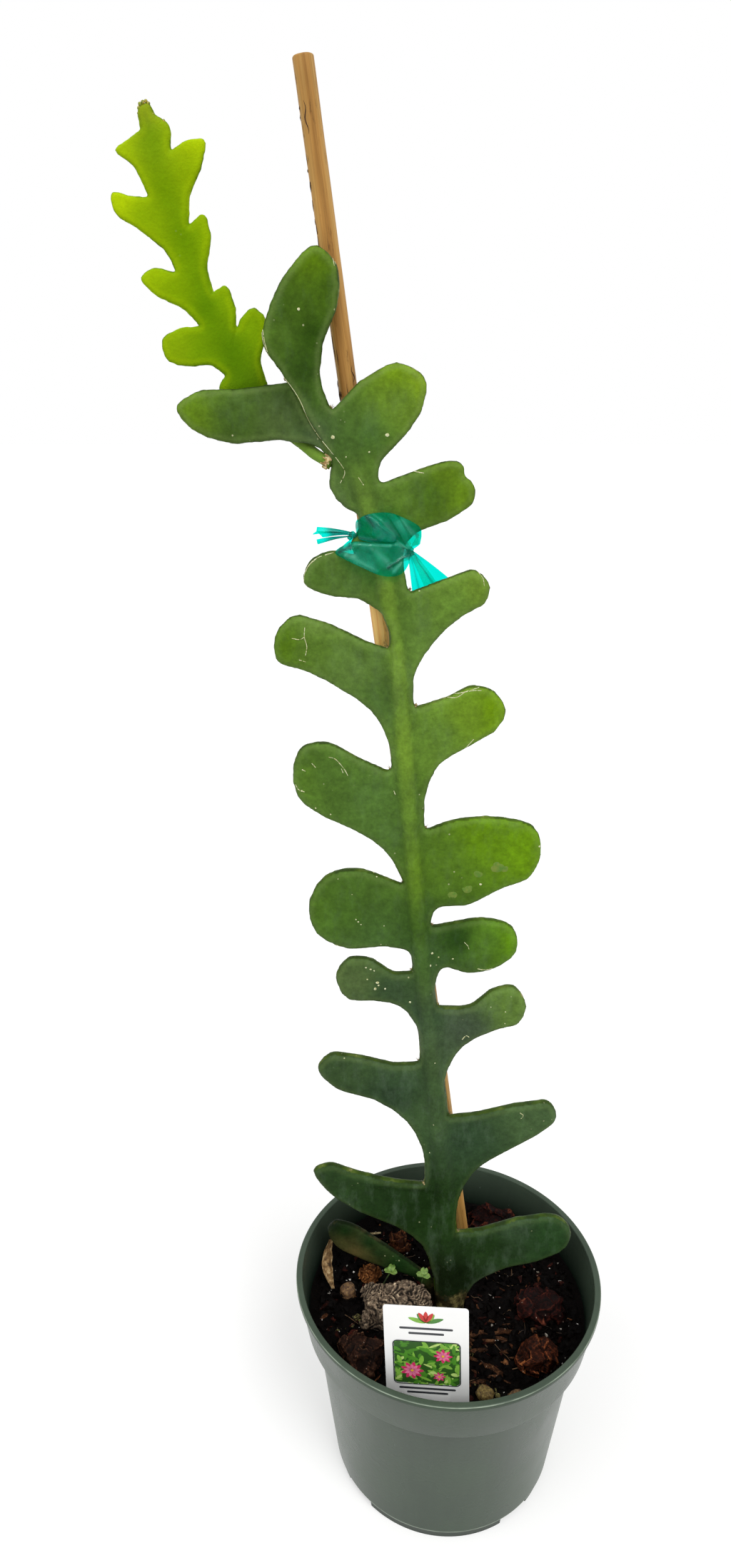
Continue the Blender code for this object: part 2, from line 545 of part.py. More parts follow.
def oval_cutter(name, socket, mat):
    centre, half_wide, half_deep, depth = socket
    low = -depth - GAP
    bm = bmesh.new()
    place = (Matrix.Translation((*centre, SOIL_LINE + (low + SOCKET_TOP) / 2))
             @ Matrix.Diagonal((half_wide, half_deep, 1, 1)))
    bmesh.ops.create_cone(bm, cap_ends=True, segments=20, radius1=1, radius2=1,
                          depth=SOCKET_TOP - low, matrix=place)
    return add_object(name, bm, mat)


def make_mix(mat):
    top_radius = wall_inner_radius(SOIL_LINE) - GAP
    profile = ([(0, FLOOR_TOP + GAP), (DRAIN_DISTANCE - 9, FLOOR_TOP + GAP),
                (WALL_FOOT_RADIUS - 4.2, FLOOR_TOP + 0.4 + GAP), (wall_inner_radius(12) - GAP, 12.4),
                (top_radius, SOIL_LINE - 1.5)]
               + [(radius, SOIL_LINE) for radius in SOIL_RINGS] + [(0, SOIL_LINE)])
    bm = turned(profile, 36)
    for v in bm.verts:
        radius = math.hypot(v.co.x, v.co.y)
        if v.co.z > SOIL_LINE - 0.5:
            v.co.z += SOIL_RELIEF * noise.noise(v.co * 0.11) * min(1.0, (top_radius - radius) / 6)
    mix = add_object("growing_mix", bm, mat)
    boolean(mix, oval_cutter("stem_socket", STEM_SOCKET, mat), "DIFFERENCE")
    boolean(mix, oval_cutter("basal_socket", BASAL_SOCKET, mat), "DIFFERENCE")
    boolean(mix, add_object("stake_socket", stake_solid(GAP), mat), "DIFFERENCE")
    boolean(mix, add_object("label_slot", label_solid(GAP), mat), "DIFFERENCE")
    return mix


def chunk_solid(centre, size, turn, bedded, pattern, detail, faces=0, grow=0.0):
    """A rough lump, partly sunk in the mix; grow thickens it evenly to cut its own bed."""
    bm = bmesh.new()
    bmesh.ops.create_icosphere(bm, subdivisions=detail, radius=1)
    for v in bm.verts:
        out = v.co.normalized()
        blocky = Vector([math.copysign(abs(c) ** 0.75, c) for c in out])
        lumps = 1 + 0.22 * noise.noise(out * 1.6 + Vector((pattern, 0, 0))) \
            + 0.10 * noise.noise(out * 4.0 + Vector((0, pattern, 0)))
        v.co = Vector([b * lumps * half * 0.86 for b, half in zip(blocky, [c / 2 for c in size])])
        v.co += out * grow
    for k in range(faces):
        spin = 2.4 * k + pattern
        out = Vector((math.cos(spin), math.sin(spin), 0.9 * math.sin(1.7 * k + pattern))).normalized()
        reach = math.sqrt(sum((o * c / 2) ** 2 for o, c in zip(out, size)))
        cut = bmesh.ops.bisect_plane(bm, geom=bm.verts[:] + bm.edges[:] + bm.faces[:], dist=1e-4,
                                     plane_co=out * (reach * BARK_FACE_AT + grow), plane_no=out,
                                     clear_outer=True)
        rim = [g for g in cut["geom_cut"] if isinstance(g, bmesh.types.BMEdge)]
        bmesh.ops.edgeloop_fill(bm, edges=rim)
    if faces:
        bmesh.ops.dissolve_degenerate(bm, edges=bm.edges[:], dist=0.15)
        bmesh.ops.triangulate(bm, faces=bm.faces[:])
    place = Matrix.Translation((centre[0], centre[1], SOIL_LINE + size[2] / 2 - bedded))
    bmesh.ops.transform(bm, matrix=place @ Matrix.Rotation(math.radians(turn), 4, "Z"), verts=bm.verts)
    bmesh.ops.recalc_face_normals(bm, faces=bm.faces)
    return bm


def make_chunks(mix):
    for name, centre, size, turn, bedded, pattern, detail, colour in CHUNKS:
        mat = material(name, colour, 0.85)
        faces = BARK_FACES.get(name, 0)
        add_object(name, chunk_solid(centre, size, turn, bedded, pattern, detail, faces), mat)
        bed = add_object(name + "_bed", chunk_solid(centre, size, turn, bedded, pattern, detail, faces,
                                                    GAP + 0.1), mat)
        boolean(mix, bed, "DIFFERENCE")


def make_sprout(name, foot, top, height, reach, mix, mat):
    """A seedling, rooted in the mix: a thread of a stem and three leaflets."""
    low = Vector((*foot, SOIL_LINE - SPROUT_ROOT))
    high = Vector((*top, SOIL_LINE + height))
    along = high - low
    stalk = add_object(name, tube([(low, along, SPROUT_RADIUS, SPROUT_RADIUS),
                                   (high, along, SPROUT_RADIUS, SPROUT_RADIUS)], 6), mat)
    wide = SPROUT_RADIUS + GAP
    hole = tube([(low - along * 0.02, along, wide, wide), (low + along * 0.5, along, wide, wide)], 6)
    boolean(mix, add_object(name + "_hole", hole, mat), "DIFFERENCE")
    for number, angle in enumerate((75, 195, 315)):
        bm = bmesh.new()
        bmesh.ops.create_icosphere(bm, subdivisions=2, radius=1)
        place = (Matrix.Translation(high) @ Matrix.Rotation(math.radians(angle), 4, "Z")
                 @ Matrix.Translation((reach * 0.5, 0, -0.3 - 0.2 * number))
                 @ Matrix.Rotation(math.radians(-14), 4, "Y")
                 @ Matrix.Diagonal((reach * 0.62, reach * 0.42, 0.45, 1)))
        bmesh.ops.transform(bm, matrix=place, verts=bm.verts)
        boolean(stalk, add_object(f"{name}_leaflet_{number}", bm, mat), "UNION")
    return stalk


def make_straw(mat):
    start, end, radius = STRAW
    lift = SOIL_LINE + radius + GAP
    low = Vector((*start, lift))
    high = Vector((*end, lift))
    rings = [(low.lerp(high, share), high - low, radius, radius) for share in (0, 0.5, 1)]
    return add_object("straw_stalk", tube(rings, 6), mat)


def make_dried_leaf(mat):
    """A dead leaf that has curled along its length, leaning on the pot's wall."""
    foot, tip = (Vector(p) for p in LEAF_AXIS)
    along = (tip - foot).normalized()
    across = along.cross(Vector((0, 0, 1))).normalized()
    normal = across.cross(along)
    bm = bmesh.new()
    bmesh.ops.create_grid(bm, x_segments=8, y_segments=4, size=0.5)
    for v in bm.verts:
        u, w = v.co.x + 0.5, v.co.y * 2
        wide = LEAF_WIDTH / 2 * (0.25 + math.sin(math.pi * (0.12 + 0.76 * u)))
        bow = LEAF_CURL * w * w + LEAF_BOW * math.sin(math.pi * u)
        v.co = foot.lerp(tip, u) + across * wide * w * 0.8 + normal * bow
        v.co.z += SOIL_LINE
    bmesh.ops.solidify(bm, geom=bm.faces[:], thickness=LEAF_THICKNESS)
    bmesh.ops.recalc_face_normals(bm, faces=bm.faces)
    return add_object("dried_leaf", bm, mat)


def build():
    clear_scene()
    make_pot(material("pot_plastic", (0.10, 0.14, 0.11), 0.42))
    mix = make_mix(material("growing_mix", (0.035, 0.025, 0.02), 0.95))
    make_stem(material("stem_skin", (0.06, 0.16, 0.03), 0.45))
    make_new_shoot(material("young_skin", (0.30, 0.46, 0.01), 0.45))
    make_basal_shoot(material("old_skin", (0.03, 0.09, 0.03), 0.45))
    add_object("bamboo_stake", stake_solid(), material("bamboo", (0.45, 0.24, 0.09), 0.55))
    make_tie(material("tie_tape", (0.01, 0.28, 0.20), 0.25))
    add_object("plant_label", label_solid(), material("label_plastic", (0.85, 0.86, 0.87), 0.35))
    make_chunks(mix)
    weed = material("weed_leaf", (0.25, 0.45, 0.10), 0.6)
    for sprout in SPROUTS:
        make_sprout(*sprout, mix, weed)
    make_straw(material("straw", (0.55, 0.45, 0.28), 0.8))
    make_dried_leaf(material("dry_leaf", (0.42, 0.32, 0.17), 0.85))


build()
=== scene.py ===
# Looks of the potted fishbone cactus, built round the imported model.
import math
import random

import bmesh
import bpy
import numpy as np
from mathutils import Matrix, Vector, kdtree, noise
from mathutils.bvhtree import BVHTree


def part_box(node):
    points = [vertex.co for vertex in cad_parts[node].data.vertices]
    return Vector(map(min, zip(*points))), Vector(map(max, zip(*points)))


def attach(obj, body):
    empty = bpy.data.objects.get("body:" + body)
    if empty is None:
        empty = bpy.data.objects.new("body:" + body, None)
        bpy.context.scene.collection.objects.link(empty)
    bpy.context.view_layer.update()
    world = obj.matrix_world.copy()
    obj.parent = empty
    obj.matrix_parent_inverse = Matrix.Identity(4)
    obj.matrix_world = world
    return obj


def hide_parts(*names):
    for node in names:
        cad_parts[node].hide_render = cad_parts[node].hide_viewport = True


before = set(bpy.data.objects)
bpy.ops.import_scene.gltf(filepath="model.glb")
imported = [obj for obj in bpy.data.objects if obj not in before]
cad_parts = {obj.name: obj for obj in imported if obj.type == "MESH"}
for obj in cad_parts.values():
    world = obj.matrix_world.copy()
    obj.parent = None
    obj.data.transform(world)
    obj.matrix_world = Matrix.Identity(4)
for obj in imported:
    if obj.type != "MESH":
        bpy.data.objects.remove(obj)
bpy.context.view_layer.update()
noise.seed_set(7)       # or noise_vector would start from the clock, and each run would differ
scene = bpy.context.scene
mm = 0.001
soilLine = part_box("pot")[1][2] - 25 * mm    # the mix stops this far below the rim
leanBack = 0.04                             # how far the plant leans back per unit of height


def toLinear(hexText):
    parts = [int(hexText[k:k + 2], 16) / 255 for k in (1, 3, 5)]
    return [p / 12.92 if p <= 0.04045 else ((p + 0.055) / 1.055) ** 2.4 for p in parts] + [1.0]


def newMaterial(name, colour, roughness, more=None):
    made = bpy.data.materials.new(name)
    made.use_nodes = True
    shader = made.node_tree.nodes["Principled BSDF"]
    shader.inputs["Base Color"].default_value = toLinear(colour)
    shader.inputs["Roughness"].default_value = roughness
    for socket, value in (more or {}).items():
        shader.inputs[socket].default_value = value
    return made


# One node with its settings, its inputs as values or as links, and the stops of a ramp.
def addNode(material, kind, inputs=None, stops=None, **settings):
    node = material.node_tree.nodes.new("ShaderNode" + kind)
    for setting, value in settings.items():
        setattr(node, setting, value)
    for socket, value in (inputs or {}).items():
        if isinstance(value, bpy.types.NodeSocket):
            material.node_tree.links.new(value, node.inputs[socket])
        else:
            node.inputs[socket].default_value = value
    if stops:
        shades = [toLinear(c) if isinstance(c, str) else (c, c, c, 1) for _, c in stops]
        ramp = node.color_ramp.elements
        ramp[0].position, ramp[1].position = stops[0][0], stops[-1][0]
        ramp[0].color, ramp[1].color = shades[0], shades[-1]
        for (where, _), shade in zip(stops[1:-1], shades[1:-1]):
            ramp.new(where).color = shade
    return node.outputs


def feed(material, sockets):
    shader = material.node_tree.nodes["Principled BSDF"]
    for socket, source in sockets.items():
        material.node_tree.links.new(source, shader.inputs[socket])


def per(size):
    return 1000 / size      # a pattern's scale from the size of its features in millimetres


# A finish whose colour follows one grain of this size in millimetres, and so does its relief
# where it has one.
def grainyFinish(name, colour, roughness, size, detail, stops, relief=0.0, strength=1.0, more=None):
    made = newMaterial(name, colour, roughness, more)
    where = addNode(made, "TexCoord")["Object"]
    grain = addNode(made, "TexNoise", {"Vector": where, "Scale": per(size), "Detail": detail})[0]
    feed(made, {"Base Color": addNode(made, "ValToRGB", {"Fac": grain}, stops)[0]})
    if relief:
        feed(made, {"Normal": addNode(made, "Bump", {"Height": grain, "Strength": strength,
                                                     "Distance": relief * mm})[0]})
    return made


def newPiece(name, bm, *materials, sharp=35):
    mesh = bpy.data.meshes.new(name)
    bm.to_mesh(mesh)
    bm.free()
    for material in materials:
        mesh.materials.append(material)
    mesh.shade_smooth()
    if sharp:
        mesh.set_sharp_from_angle(angle=math.radians(sharp))
    piece = bpy.data.objects.new(name, mesh)
    scene.collection.objects.link(piece)
    return piece


def settle(piece):
    # modifiers are taken into the mesh
    shown = piece.evaluated_get(bpy.context.evaluated_depsgraph_get())
    mesh = bpy.data.meshes.new_from_object(shown)
    piece.modifiers.clear()
    piece.data = mesh


def giveBody(piece, thickness, offset=0):
    # a thin sheet gets its thickness: half on each side at 0, all behind it at -1
    body = piece.modifiers.new("body", "SOLIDIFY")
    body.thickness = thickness * mm
    body.offset = offset
    settle(piece)


def paint(piece, name, values):
    # one number for each point of the mesh, which its material reads
    layer = piece.data.attributes.new(name, "FLOAT", "POINT")
    layer.data.foreach_set("value", values)


def dress(piece, slot, *nodes):
    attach(piece, "root")
    if nodes:
        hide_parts(*nodes)


def mergedCopy(node):
    bm = bmesh.new()
    bm.from_mesh(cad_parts[node].data)
    bmesh.ops.remove_doubles(bm, verts=bm.verts, dist=1e-5)
    return bm


def ease(u):
    u = min(1.0, max(0.0, u))
    return u * u * (3 - 2 * u)


def facing(direction):
    # the turn that brings Z into a direction
    return direction.to_track_quat("Z", "Y").to_matrix().to_4x4()


def roughen(verts, size, height):
    # uneven bumps of this size and height in millimetres
    for v in verts:
        v.co += noise.noise_vector(v.co / (size * mm)) * height * mm


def onlyVerts(made):
    return [g for g in made if isinstance(g, bmesh.types.BMVert)]


def drawOut(bm, face, move):
    # a face drawn out into a solid
    made = bmesh.ops.extrude_face_region(bm, geom=[face])["geom"]
    bmesh.ops.translate(bm, vec=move, verts=onlyVerts(made))
    bmesh.ops.recalc_face_normals(bm, faces=bm.faces)


def wrapHull(bm, points):
    # the hull of a few points, without those that end up inside it
    hull = bmesh.ops.convex_hull(bm, input=points)
    bmesh.ops.delete(bm, geom=onlyVerts(hull["geom_interior"]), context="VERTS")


def turnProfile(profile, steps):
    # a profile of (radius, height) in millimetres, spun once round
    bm = bmesh.new()
    verts = [bm.verts.new((r * mm, 0, z * mm)) for r, z in profile]
    edges = [bm.edges.new(pair) for pair in zip(verts, verts[1:])]
    bmesh.ops.spin(bm, geom=verts + edges, cent=(0, 0, 0), axis=(0, 0, 1), angle=math.tau,
                   steps=steps, use_merge=True)
    bmesh.ops.remove_doubles(bm, verts=bm.verts, dist=1e-6)
    bmesh.ops.recalc_face_normals(bm, faces=bm.faces)
    return bm


def smoothStep(a, b, c, d, pieces):
    # the places from b to just before c on a smooth line through a, b, c and d
    made = []
    for k in range(pieces):
        u = k / pieces
        made.append(0.5 * (2 * b + (c - a) * u + (2 * a - 5 * b + 4 * c - d) * u * u
                           + (3 * b - 3 * c + d - a) * u ** 3))
    return made


def curveThrough(points, pieces=8):
    # a smooth line through the points
    pts = [Vector(p) for p in points]
    ends = [pts[0] * 2 - pts[1]] + pts + [pts[-1] * 2 - pts[-2]]
    line = []
    for a, b, c, d in zip(ends, ends[1:], ends[2:], ends[3:]):
        line += smoothStep(a, b, c, d, pieces)
    return line + [pts[-1]]


def addTube(bm, line, radii, sides=8):
    # rings along the line are bridged and capped
    loops = []
    for k, point in enumerate(line):
        along = (line[min(k + 1, len(line) - 1)] - line[max(k - 1, 0)]).normalized()
        radius = radii[0] + (radii[1] - radii[0]) * k / (len(line) - 1)
        ring = bmesh.ops.create_circle(bm, segments=sides, radius=radius,
                                       matrix=Matrix.Translation(point) @ facing(along))
        loops.append(list({e for v in ring["verts"] for e in v.link_edges}))
    for low, high in zip(loops, loops[1:]):
        bmesh.ops.bridge_loops(bm, edges=low + high)
    for end in (loops[0], loops[-1]):
        bmesh.ops.contextual_create(bm, geom=end)


# The plant's skin

# Places are an x and a height above the mix in millimetres. Each look holds:
# voxel and relaxed: how finely the solid is re-meshed, and how often that mesh is smoothed
# swell and pillow: how far the skin stands out everywhere, and how much more away from its edges
# middle: the line of the rib along the blade; ribSpan: the heights where it starts, stands, is
#   palest, starts to fade and ends; ribEdge, ribShade, ribTint: how abruptly it falls away to the
#   sides, how deep the painted shade beside it is, and its tint
# gain: the strength of red, green and blue in every tone
# mottle, specks, haze, shine and cork: how strong each of these is on the skin
# rind: the colours of the dry edge; nudges: (x, height, how far, within) moves a stretch sideways
# tones: the flesh's colours at places on the blade; the darkest, low on the stem and round its foot, hold
# painted shade as well as the skin's own colour
# each look's edge colour is that of the pale band just inside the edge: thin flesh, with a painted highlight
# along the rounded edge
stemLook = {
    "name": "stemSkin", "voxel": 1.0, "relaxed": 6, "pillow": 0.45, "swell": 0.12,
    "middle": [(2, -24), (2.4, 4), (-0.4, 42), (-3, 80), (-8.5, 130), (-14, 180), (-19, 230),
               (-24, 285), (-28, 335), (-35, 380), (-44.2, 412), (-59, 436), (-68, 458)],
    "ribWidth": 3.0, "ribHeight": 1.0, "ribSpan": (20, 150, 240, 396, 420), "ribEdge": 3,
    "ribShade": 0.09, "ribTint": (2.0, 1.75, 1.2),
    "gain": (1.23, 1.14, 0.94), "mottle": 1.0, "specks": 0.85, "haze": 0.17, "shine": 0.06,
    "cork": 1.0, "thinAndSheenShade": "#8FA860",
    "rind": [(0.36, "#25330F"), (0.54, "#3E5212"), (0.68, "#5C6C2A"), (0.78, "#B9A878")],
    "nudges": [(-36.5, 353.5, 2.4, 8), (-33.5, 347, 2.6, 9), (-33.2, 339.5, 1.6, 6), (-43.5, 385, -3.4, 7.5)],
    "tones": [
        (-60, 486, "#4F700E"), (-70, 470, "#3C5B17"), (-60, 460, "#27440A"), (-54, 474, "#3F5F13"),
        (-63, 449, "#2E4C14"), (-57, 441, "#3B5B20"), (-74, 461, "#426120"), (-19.5, 445, "#6E8F18"),
        (-29, 449, "#658815"), (-28, 438, "#587829"), (-40, 425, "#40612A"), (-37, 413, "#4B6C2A"),
        (-50, 423, "#3F5E29"), (-109, 432, "#547518"), (-92, 431, "#3F5C22"), (-74, 430, "#465D33"),
        (-60, 425, "#40573A"), (-17, 404, "#43651B"), (-3, 404, "#587A18"), (-28, 402, "#4A6A26"),
        (-10, 413, "#567719"), (-49, 405, "#4D6B34"), (-42, 398, "#45632C"), (-59, 372, "#4B6C2C"),
        (-46, 373, "#42612B"), (-6, 361, "#5C8034"), (4, 368, "#5F7F2E"), (-19, 347, "#547534"),
        (-31, 352, "#48682A"), (-62, 352, "#5A7937"),
        (-47, 335, "#557539"), (-62, 346, "#4F7029"), (-74, 346, "#4C6F14"), (-36, 322, "#46662F"),
        (1, 316, "#648726"), (13, 318, "#68900C"), (-11, 308, "#55772F"), (-57, 291, "#46672A"),
        (-69, 290, "#4B6D26"), (-38, 279, "#46672F"), (-33, 262, "#42622B"), (10, 262, "#557C0E"),
        (30, 255, "#5E880E"), (-9, 249, "#4B6E20"), (-52, 226, "#3C5C21"), (-63, 228, "#426320"),
        (-36, 216, "#3E5E2A"), (14, 212, "#466B20"), (23, 213, "#54800F"), (-1, 213, "#1F3B10"),
        (-17, 218, "#304E1B"),
        (-46, 192, "#485E34"), (-30, 188, "#30462A"), (27, 179, "#547230"), (4, 167, "#3B4C37"),
        (-17, 205, "#38572A"), (-14, 174, "#31482D"), (-54, 145, "#2F4526"), (-28, 130, "#2A4028"),
        (40, 118, "#3E5733"), (7, 105, "#2A4129"), (-12, 119, "#37502E"), (-58, 81, "#243B1C"),
        (-30, 64, "#1A3013"), (50, 47, "#24401F"), (32, 51, "#30462D"), (20, 42, "#223A1A"),
        (-4, 62, "#1E3814"), (-11, 69, "#152A0D"), (1, 20, "#121E0C")],
}
shootLook = {
    "name": "youngShootSkin", "voxel": 0.55, "relaxed": 4, "pillow": 0.25, "swell": 0.1,
    "middle": [(-60, 417), (-72, 424), (-88, 443), (-97, 463), (-104, 482), (-111, 501), (-117, 517),
               (-120, 534)],
    "ribWidth": 6.5, "ribHeight": 0.5, "ribSpan": (418, 424, 450, 528, 536), "ribEdge": 2, "ribShade": 0.0,
    "ribTint": (0.34, 0.52, 0.4),
    "gain": (1.2, 1.15, 1.0), "mottle": 0.3, "specks": 0.12, "haze": 0.0, "shine": 0.03,
    "cork": 0.0, "thinAndSheenShade": "#A8C408",
    "rind": [(0.35, "#37520A"), (0.5, "#6F900C"), (0.68, "#A9C41C")], "nudges": [],
    "tones": [
        (-120, 534, "#7C8F1C"), (-117, 524, "#84A40C"), (-130, 521, "#97B50A"), (-101, 526, "#A2BF06"),
        (-104, 514, "#82A104"), (-115, 508, "#7FA003"), (-132, 507, "#A3BF06"), (-122, 500, "#7E9F04"),
        (-108, 493, "#769A02"), (-99, 492, "#84A604"), (-123, 480, "#8CAD06"), (-112, 473, "#769902"),
        (-102, 470, "#658C02"), (-94, 472, "#7FA306"), (-115, 456, "#7C9D08"), (-102, 454, "#678D04"),
        (-91, 455, "#5F8603"), (-84, 466, "#759A06"), (-86, 440, "#5E8507"), (-73, 425, "#64862A"),
        (-62, 418, "#739339")],
}
basalLook = {
    "name": "basalShootSkin", "voxel": 0.9, "relaxed": 6, "pillow": 0.5, "swell": 0.12,
    "middle": [(-6, -12), (-6, 4), (-20, 19), (-58, 36)],
    "ribWidth": 1.0, "ribHeight": 0.0, "ribSpan": (90, 91, 92, 93, 94), "ribEdge": 2,
    "ribShade": 0.0, "ribTint": (1, 1, 1),
    "gain": (0.8, 0.95, 0.72), "mottle": 1.0, "specks": 0.7, "haze": 0.02, "shine": 0.03,
    "cork": 0.8, "thinAndSheenShade": "#2A3A1E",
    "rind": [(0.4, "#0A1206"), (0.55, "#141D0C"), (0.68, "#4A4228")], "nudges": [],
    "tones": [
        # the near-black tones toward the tip are painted shade; the tan ones are the shoot's own colour
        (-61, 50, "#040A03"), (-58, 42, "#0A160A"), (-52, 39, "#15290F"), (-40, 33, "#1A3114"),
        (-25, 21, "#1D3716"), (-52, 30, "#4A4426"), (-47, 25, "#6E5A36"), (-41, 23, "#4C4424"),
        (-35, 27, "#23341A"), (-28, 15, "#1C3015"), (-16, 12, "#223A18"), (-8, 6, "#3A3A1C")],
}


def mottled(skin, green, look, where):
    # patches of paler growth 18 mm across, and mottlings of 4 mm and 1.5 mm inside them
    patches = addNode(skin, "TexNoise", {"Vector": where, "Scale": per(18), "Detail": 4.0,
                                         "Roughness": 0.6})[0]
    mottle = addNode(skin, "TexNoise", {"Vector": where, "Scale": per(4), "Detail": 5.0,
                                        "Roughness": 0.68})[0]
    flecks = addNode(skin, "TexNoise", {"Vector": where, "Scale": per(1.5), "Detail": 3.0})[0]
    for pattern, depth in ((patches, 0.16), (mottle, 0.2), (flecks, 0.1)):
        depth *= look["mottle"]
        shade = addNode(skin, "ValToRGB", {"Fac": pattern}, [(0.32, 1 - depth), (0.68, 1 + depth)])[0]
        green = addNode(skin, "MixRGB", {"Fac": 1.0, "Color1": green, "Color2": shade},
                        blend_type="MULTIPLY")[0]
    return green, mottle


def waxed(skin, green, look, where, height):
    # the bloom of wax shows as a faint grey haze in streaks, thickest low on the stem
    hazeMap = addNode(skin, "Mapping", {"Vector": where, "Rotation": (0, 0.5, 0), "Scale": (1, 1, 0.35)})[0]
    haze = addNode(skin, "TexNoise", {"Vector": hazeMap, "Scale": per(7), "Detail": 6.0,
                                      "Roughness": 0.7})[0]
    haze = addNode(skin, "ValToRGB", {"Fac": haze}, [(0.5, 0.0), (0.8, 1.0)])[0]
    thickness = addNode(skin, "MapRange", {"Value": height, "From Min": soilLine,
                                           "From Max": soilLine + 240 * mm, "To Min": look["haze"] * 1.4,
                                           "To Max": look["haze"] * 0.5})[0]
    haze = addNode(skin, "Math", {0: haze, 1: thickness}, operation="MULTIPLY")[0]
    return addNode(skin, "MixRGB", {"Fac": haze, "Color1": green, "Color2": toLinear("#8CA38C")})[0]


def speckled(skin, green, look, where):
    # dry specks about half a millimetre wide, only where the gate noise allows them
    cells = addNode(skin, "TexVoronoi", {"Vector": where, "Scale": per(4.2)})["Distance"]
    dots = addNode(skin, "ValToRGB", {"Fac": cells}, [(0.05, 1.0), (0.11, 0.0)])[0]
    gate = addNode(skin, "TexNoise", {"Vector": where, "Scale": per(26), "Detail": 1.0})[0]
    gate = addNode(skin, "ValToRGB", {"Fac": gate}, [(0.55, 0.0), (0.64, look["specks"])])[0]
    speck = addNode(skin, "Math", {0: dots, 1: gate}, operation="MULTIPLY")[0]
    return addNode(skin, "MixRGB", {"Fac": speck, "Color1": green, "Color2": toLinear("#C4C49A")})[0]


def edged(skin, green, look, where):
    # just inside the edge the flesh is thin and paler, partly its own thin flesh and partly a painted
    # highlight along the rounded edge, and the edge itself turns dry in stretches
    thinAndSheen = addNode(skin, "Attribute", attribute_name="thinAndSheen")["Fac"]
    green = addNode(skin, "MixRGB", {"Fac": thinAndSheen, "Color1": green,
                                     "Color2": toLinear(look["thinAndSheenShade"])})[0]
    margin = addNode(skin, "Attribute", attribute_name="margin")["Fac"]
    dryness = addNode(skin, "TexNoise", {"Vector": where, "Scale": per(7), "Detail": 3.0})[0]
    rind = addNode(skin, "ValToRGB", {"Fac": dryness}, look["rind"])[0]
    edge = addNode(skin, "ValToRGB", {"Fac": margin}, [(0.4, 0.0), (0.9, 0.75)])[0]
    return addNode(skin, "MixRGB", {"Fac": edge, "Color1": green, "Color2": rind})[0]


def corkedFoot(skin, green, look, where, height):
    # old corky tissue round the foot of the stem
    footNoise = addNode(skin, "TexNoise", {"Vector": where, "Scale": per(6), "Detail": 6.0,
                                           "Roughness": 0.7})[0]
    rise = addNode(skin, "MapRange", {"Value": height, "From Min": soilLine + 1 * mm,
                                      "From Max": soilLine + 17 * mm, "To Min": look["cork"],
                                      "To Max": 0.0})[0]
    cork = addNode(skin, "Math", {0: rise, 1: footNoise}, operation="ADD")[0]
    cork = addNode(skin, "ValToRGB", {"Fac": cork}, [(0.78, 0.0), (1.02, 1.0)])[0]
    corkColour = addNode(skin, "ValToRGB", {"Fac": footNoise},
                         [(0.35, "#0E0C07"), (0.52, "#2E2918"), (0.68, "#7A7046")])[0]
    return addNode(skin, "MixRGB", {"Fac": cork, "Color1": green, "Color2": corkColour})[0]


# Smooth cactus skin under a thin bloom of wax: a soft broad sheen over mottled green, with pale
# dry specks, and an edge that turns corky in stretches.
def fleshMaterial(name, look):
    skin = newMaterial(name, "#4E7328", 0.46, {
        "Specular IOR Level": look["shine"], "Subsurface Weight": 0.05, "Subsurface Scale": 0.002,
        "Subsurface Radius": (0.35, 1.0, 0.15)})
    where = addNode(skin, "TexCoord")["Object"]
    height = addNode(skin, "SeparateXYZ", {0: where})["Z"]
    green = addNode(skin, "Attribute", attribute_name="tone")["Color"]
    rib = addNode(skin, "Attribute", attribute_name="rib")["Fac"]
    green = addNode(skin, "MixRGB", {"Fac": rib, "Color1": green, "Color2": (*look["ribTint"], 1)},
                    blend_type="MULTIPLY")[0]
    green, mottle = mottled(skin, green, look, where)
    green = waxed(skin, green, look, where, height)
    green = speckled(skin, green, look, where)
    green = edged(skin, green, look, where)
    green = corkedFoot(skin, green, look, where, height)
    gloss = addNode(skin, "MapRange", {"Value": mottle, "From Min": 0.3, "From Max": 0.7,
                                       "To Min": 0.38, "To Max": 0.56})[0]
    pores = addNode(skin, "TexNoise", {"Vector": where, "Scale": per(0.9), "Detail": 2.0})[0]
    grain = addNode(skin, "Math", {0: mottle, 1: pores}, operation="ADD")[0]
    bump = addNode(skin, "Bump", {"Height": grain, "Strength": 0.3, "Distance": 0.0007})[0]
    feed(skin, {"Base Color": green, "Roughness": gloss, "Normal": bump})
    return skin


def evenMesh(node, look, material):
    # the solid re-meshed evenly and relaxed, with a few stretches nudged sideways
    piece = newPiece(look["name"], mergedCopy(node), material, sharp=0)
    evenOut = piece.modifiers.new("evenOut", "REMESH")
    evenOut.mode = "VOXEL"
    evenOut.voxel_size = look["voxel"] * mm
    relax = piece.modifiers.new("relax", "SMOOTH")
    relax.factor = 0.5
    relax.iterations = look["relaxed"]
    settle(piece)
    mesh = piece.data
    mesh.materials.clear()
    mesh.materials.append(material)
    mesh.shade_smooth()
    for x, s, across, reach in look["nudges"]:
        for v in mesh.vertices:
            near = 1 - math.hypot(v.co.x / mm - x, (v.co.z - soilLine) / mm - s) / reach
            v.co.x += across * mm * ease(near)
    return piece


def distanceToEdge(mesh):
    # from each point to the nearest one on the blade's edge
    edgeVerts = [v for v in mesh.vertices if abs(v.normal.y) < 0.5]
    tree = kdtree.KDTree(len(edgeVerts))
    for k, v in enumerate(edgeVerts):
        tree.insert(v.co, k)
    tree.balance()
    return np.array([tree.find(v.co)[2] / mm for v in mesh.vertices])


def distanceToLine(places, line):
    aside = np.full(len(places), 1e3)
    for (x0, s0), (x1, s1) in zip(line, line[1:]):
        along = np.array([x1 - x0, s1 - s0])
        u = np.clip(((places - (x0, s0)) @ along) / (along @ along), 0, 1)
        aside = np.minimum(aside, np.linalg.norm(places - (x0, s0) - u[:, None] * along, axis=1))
    return aside


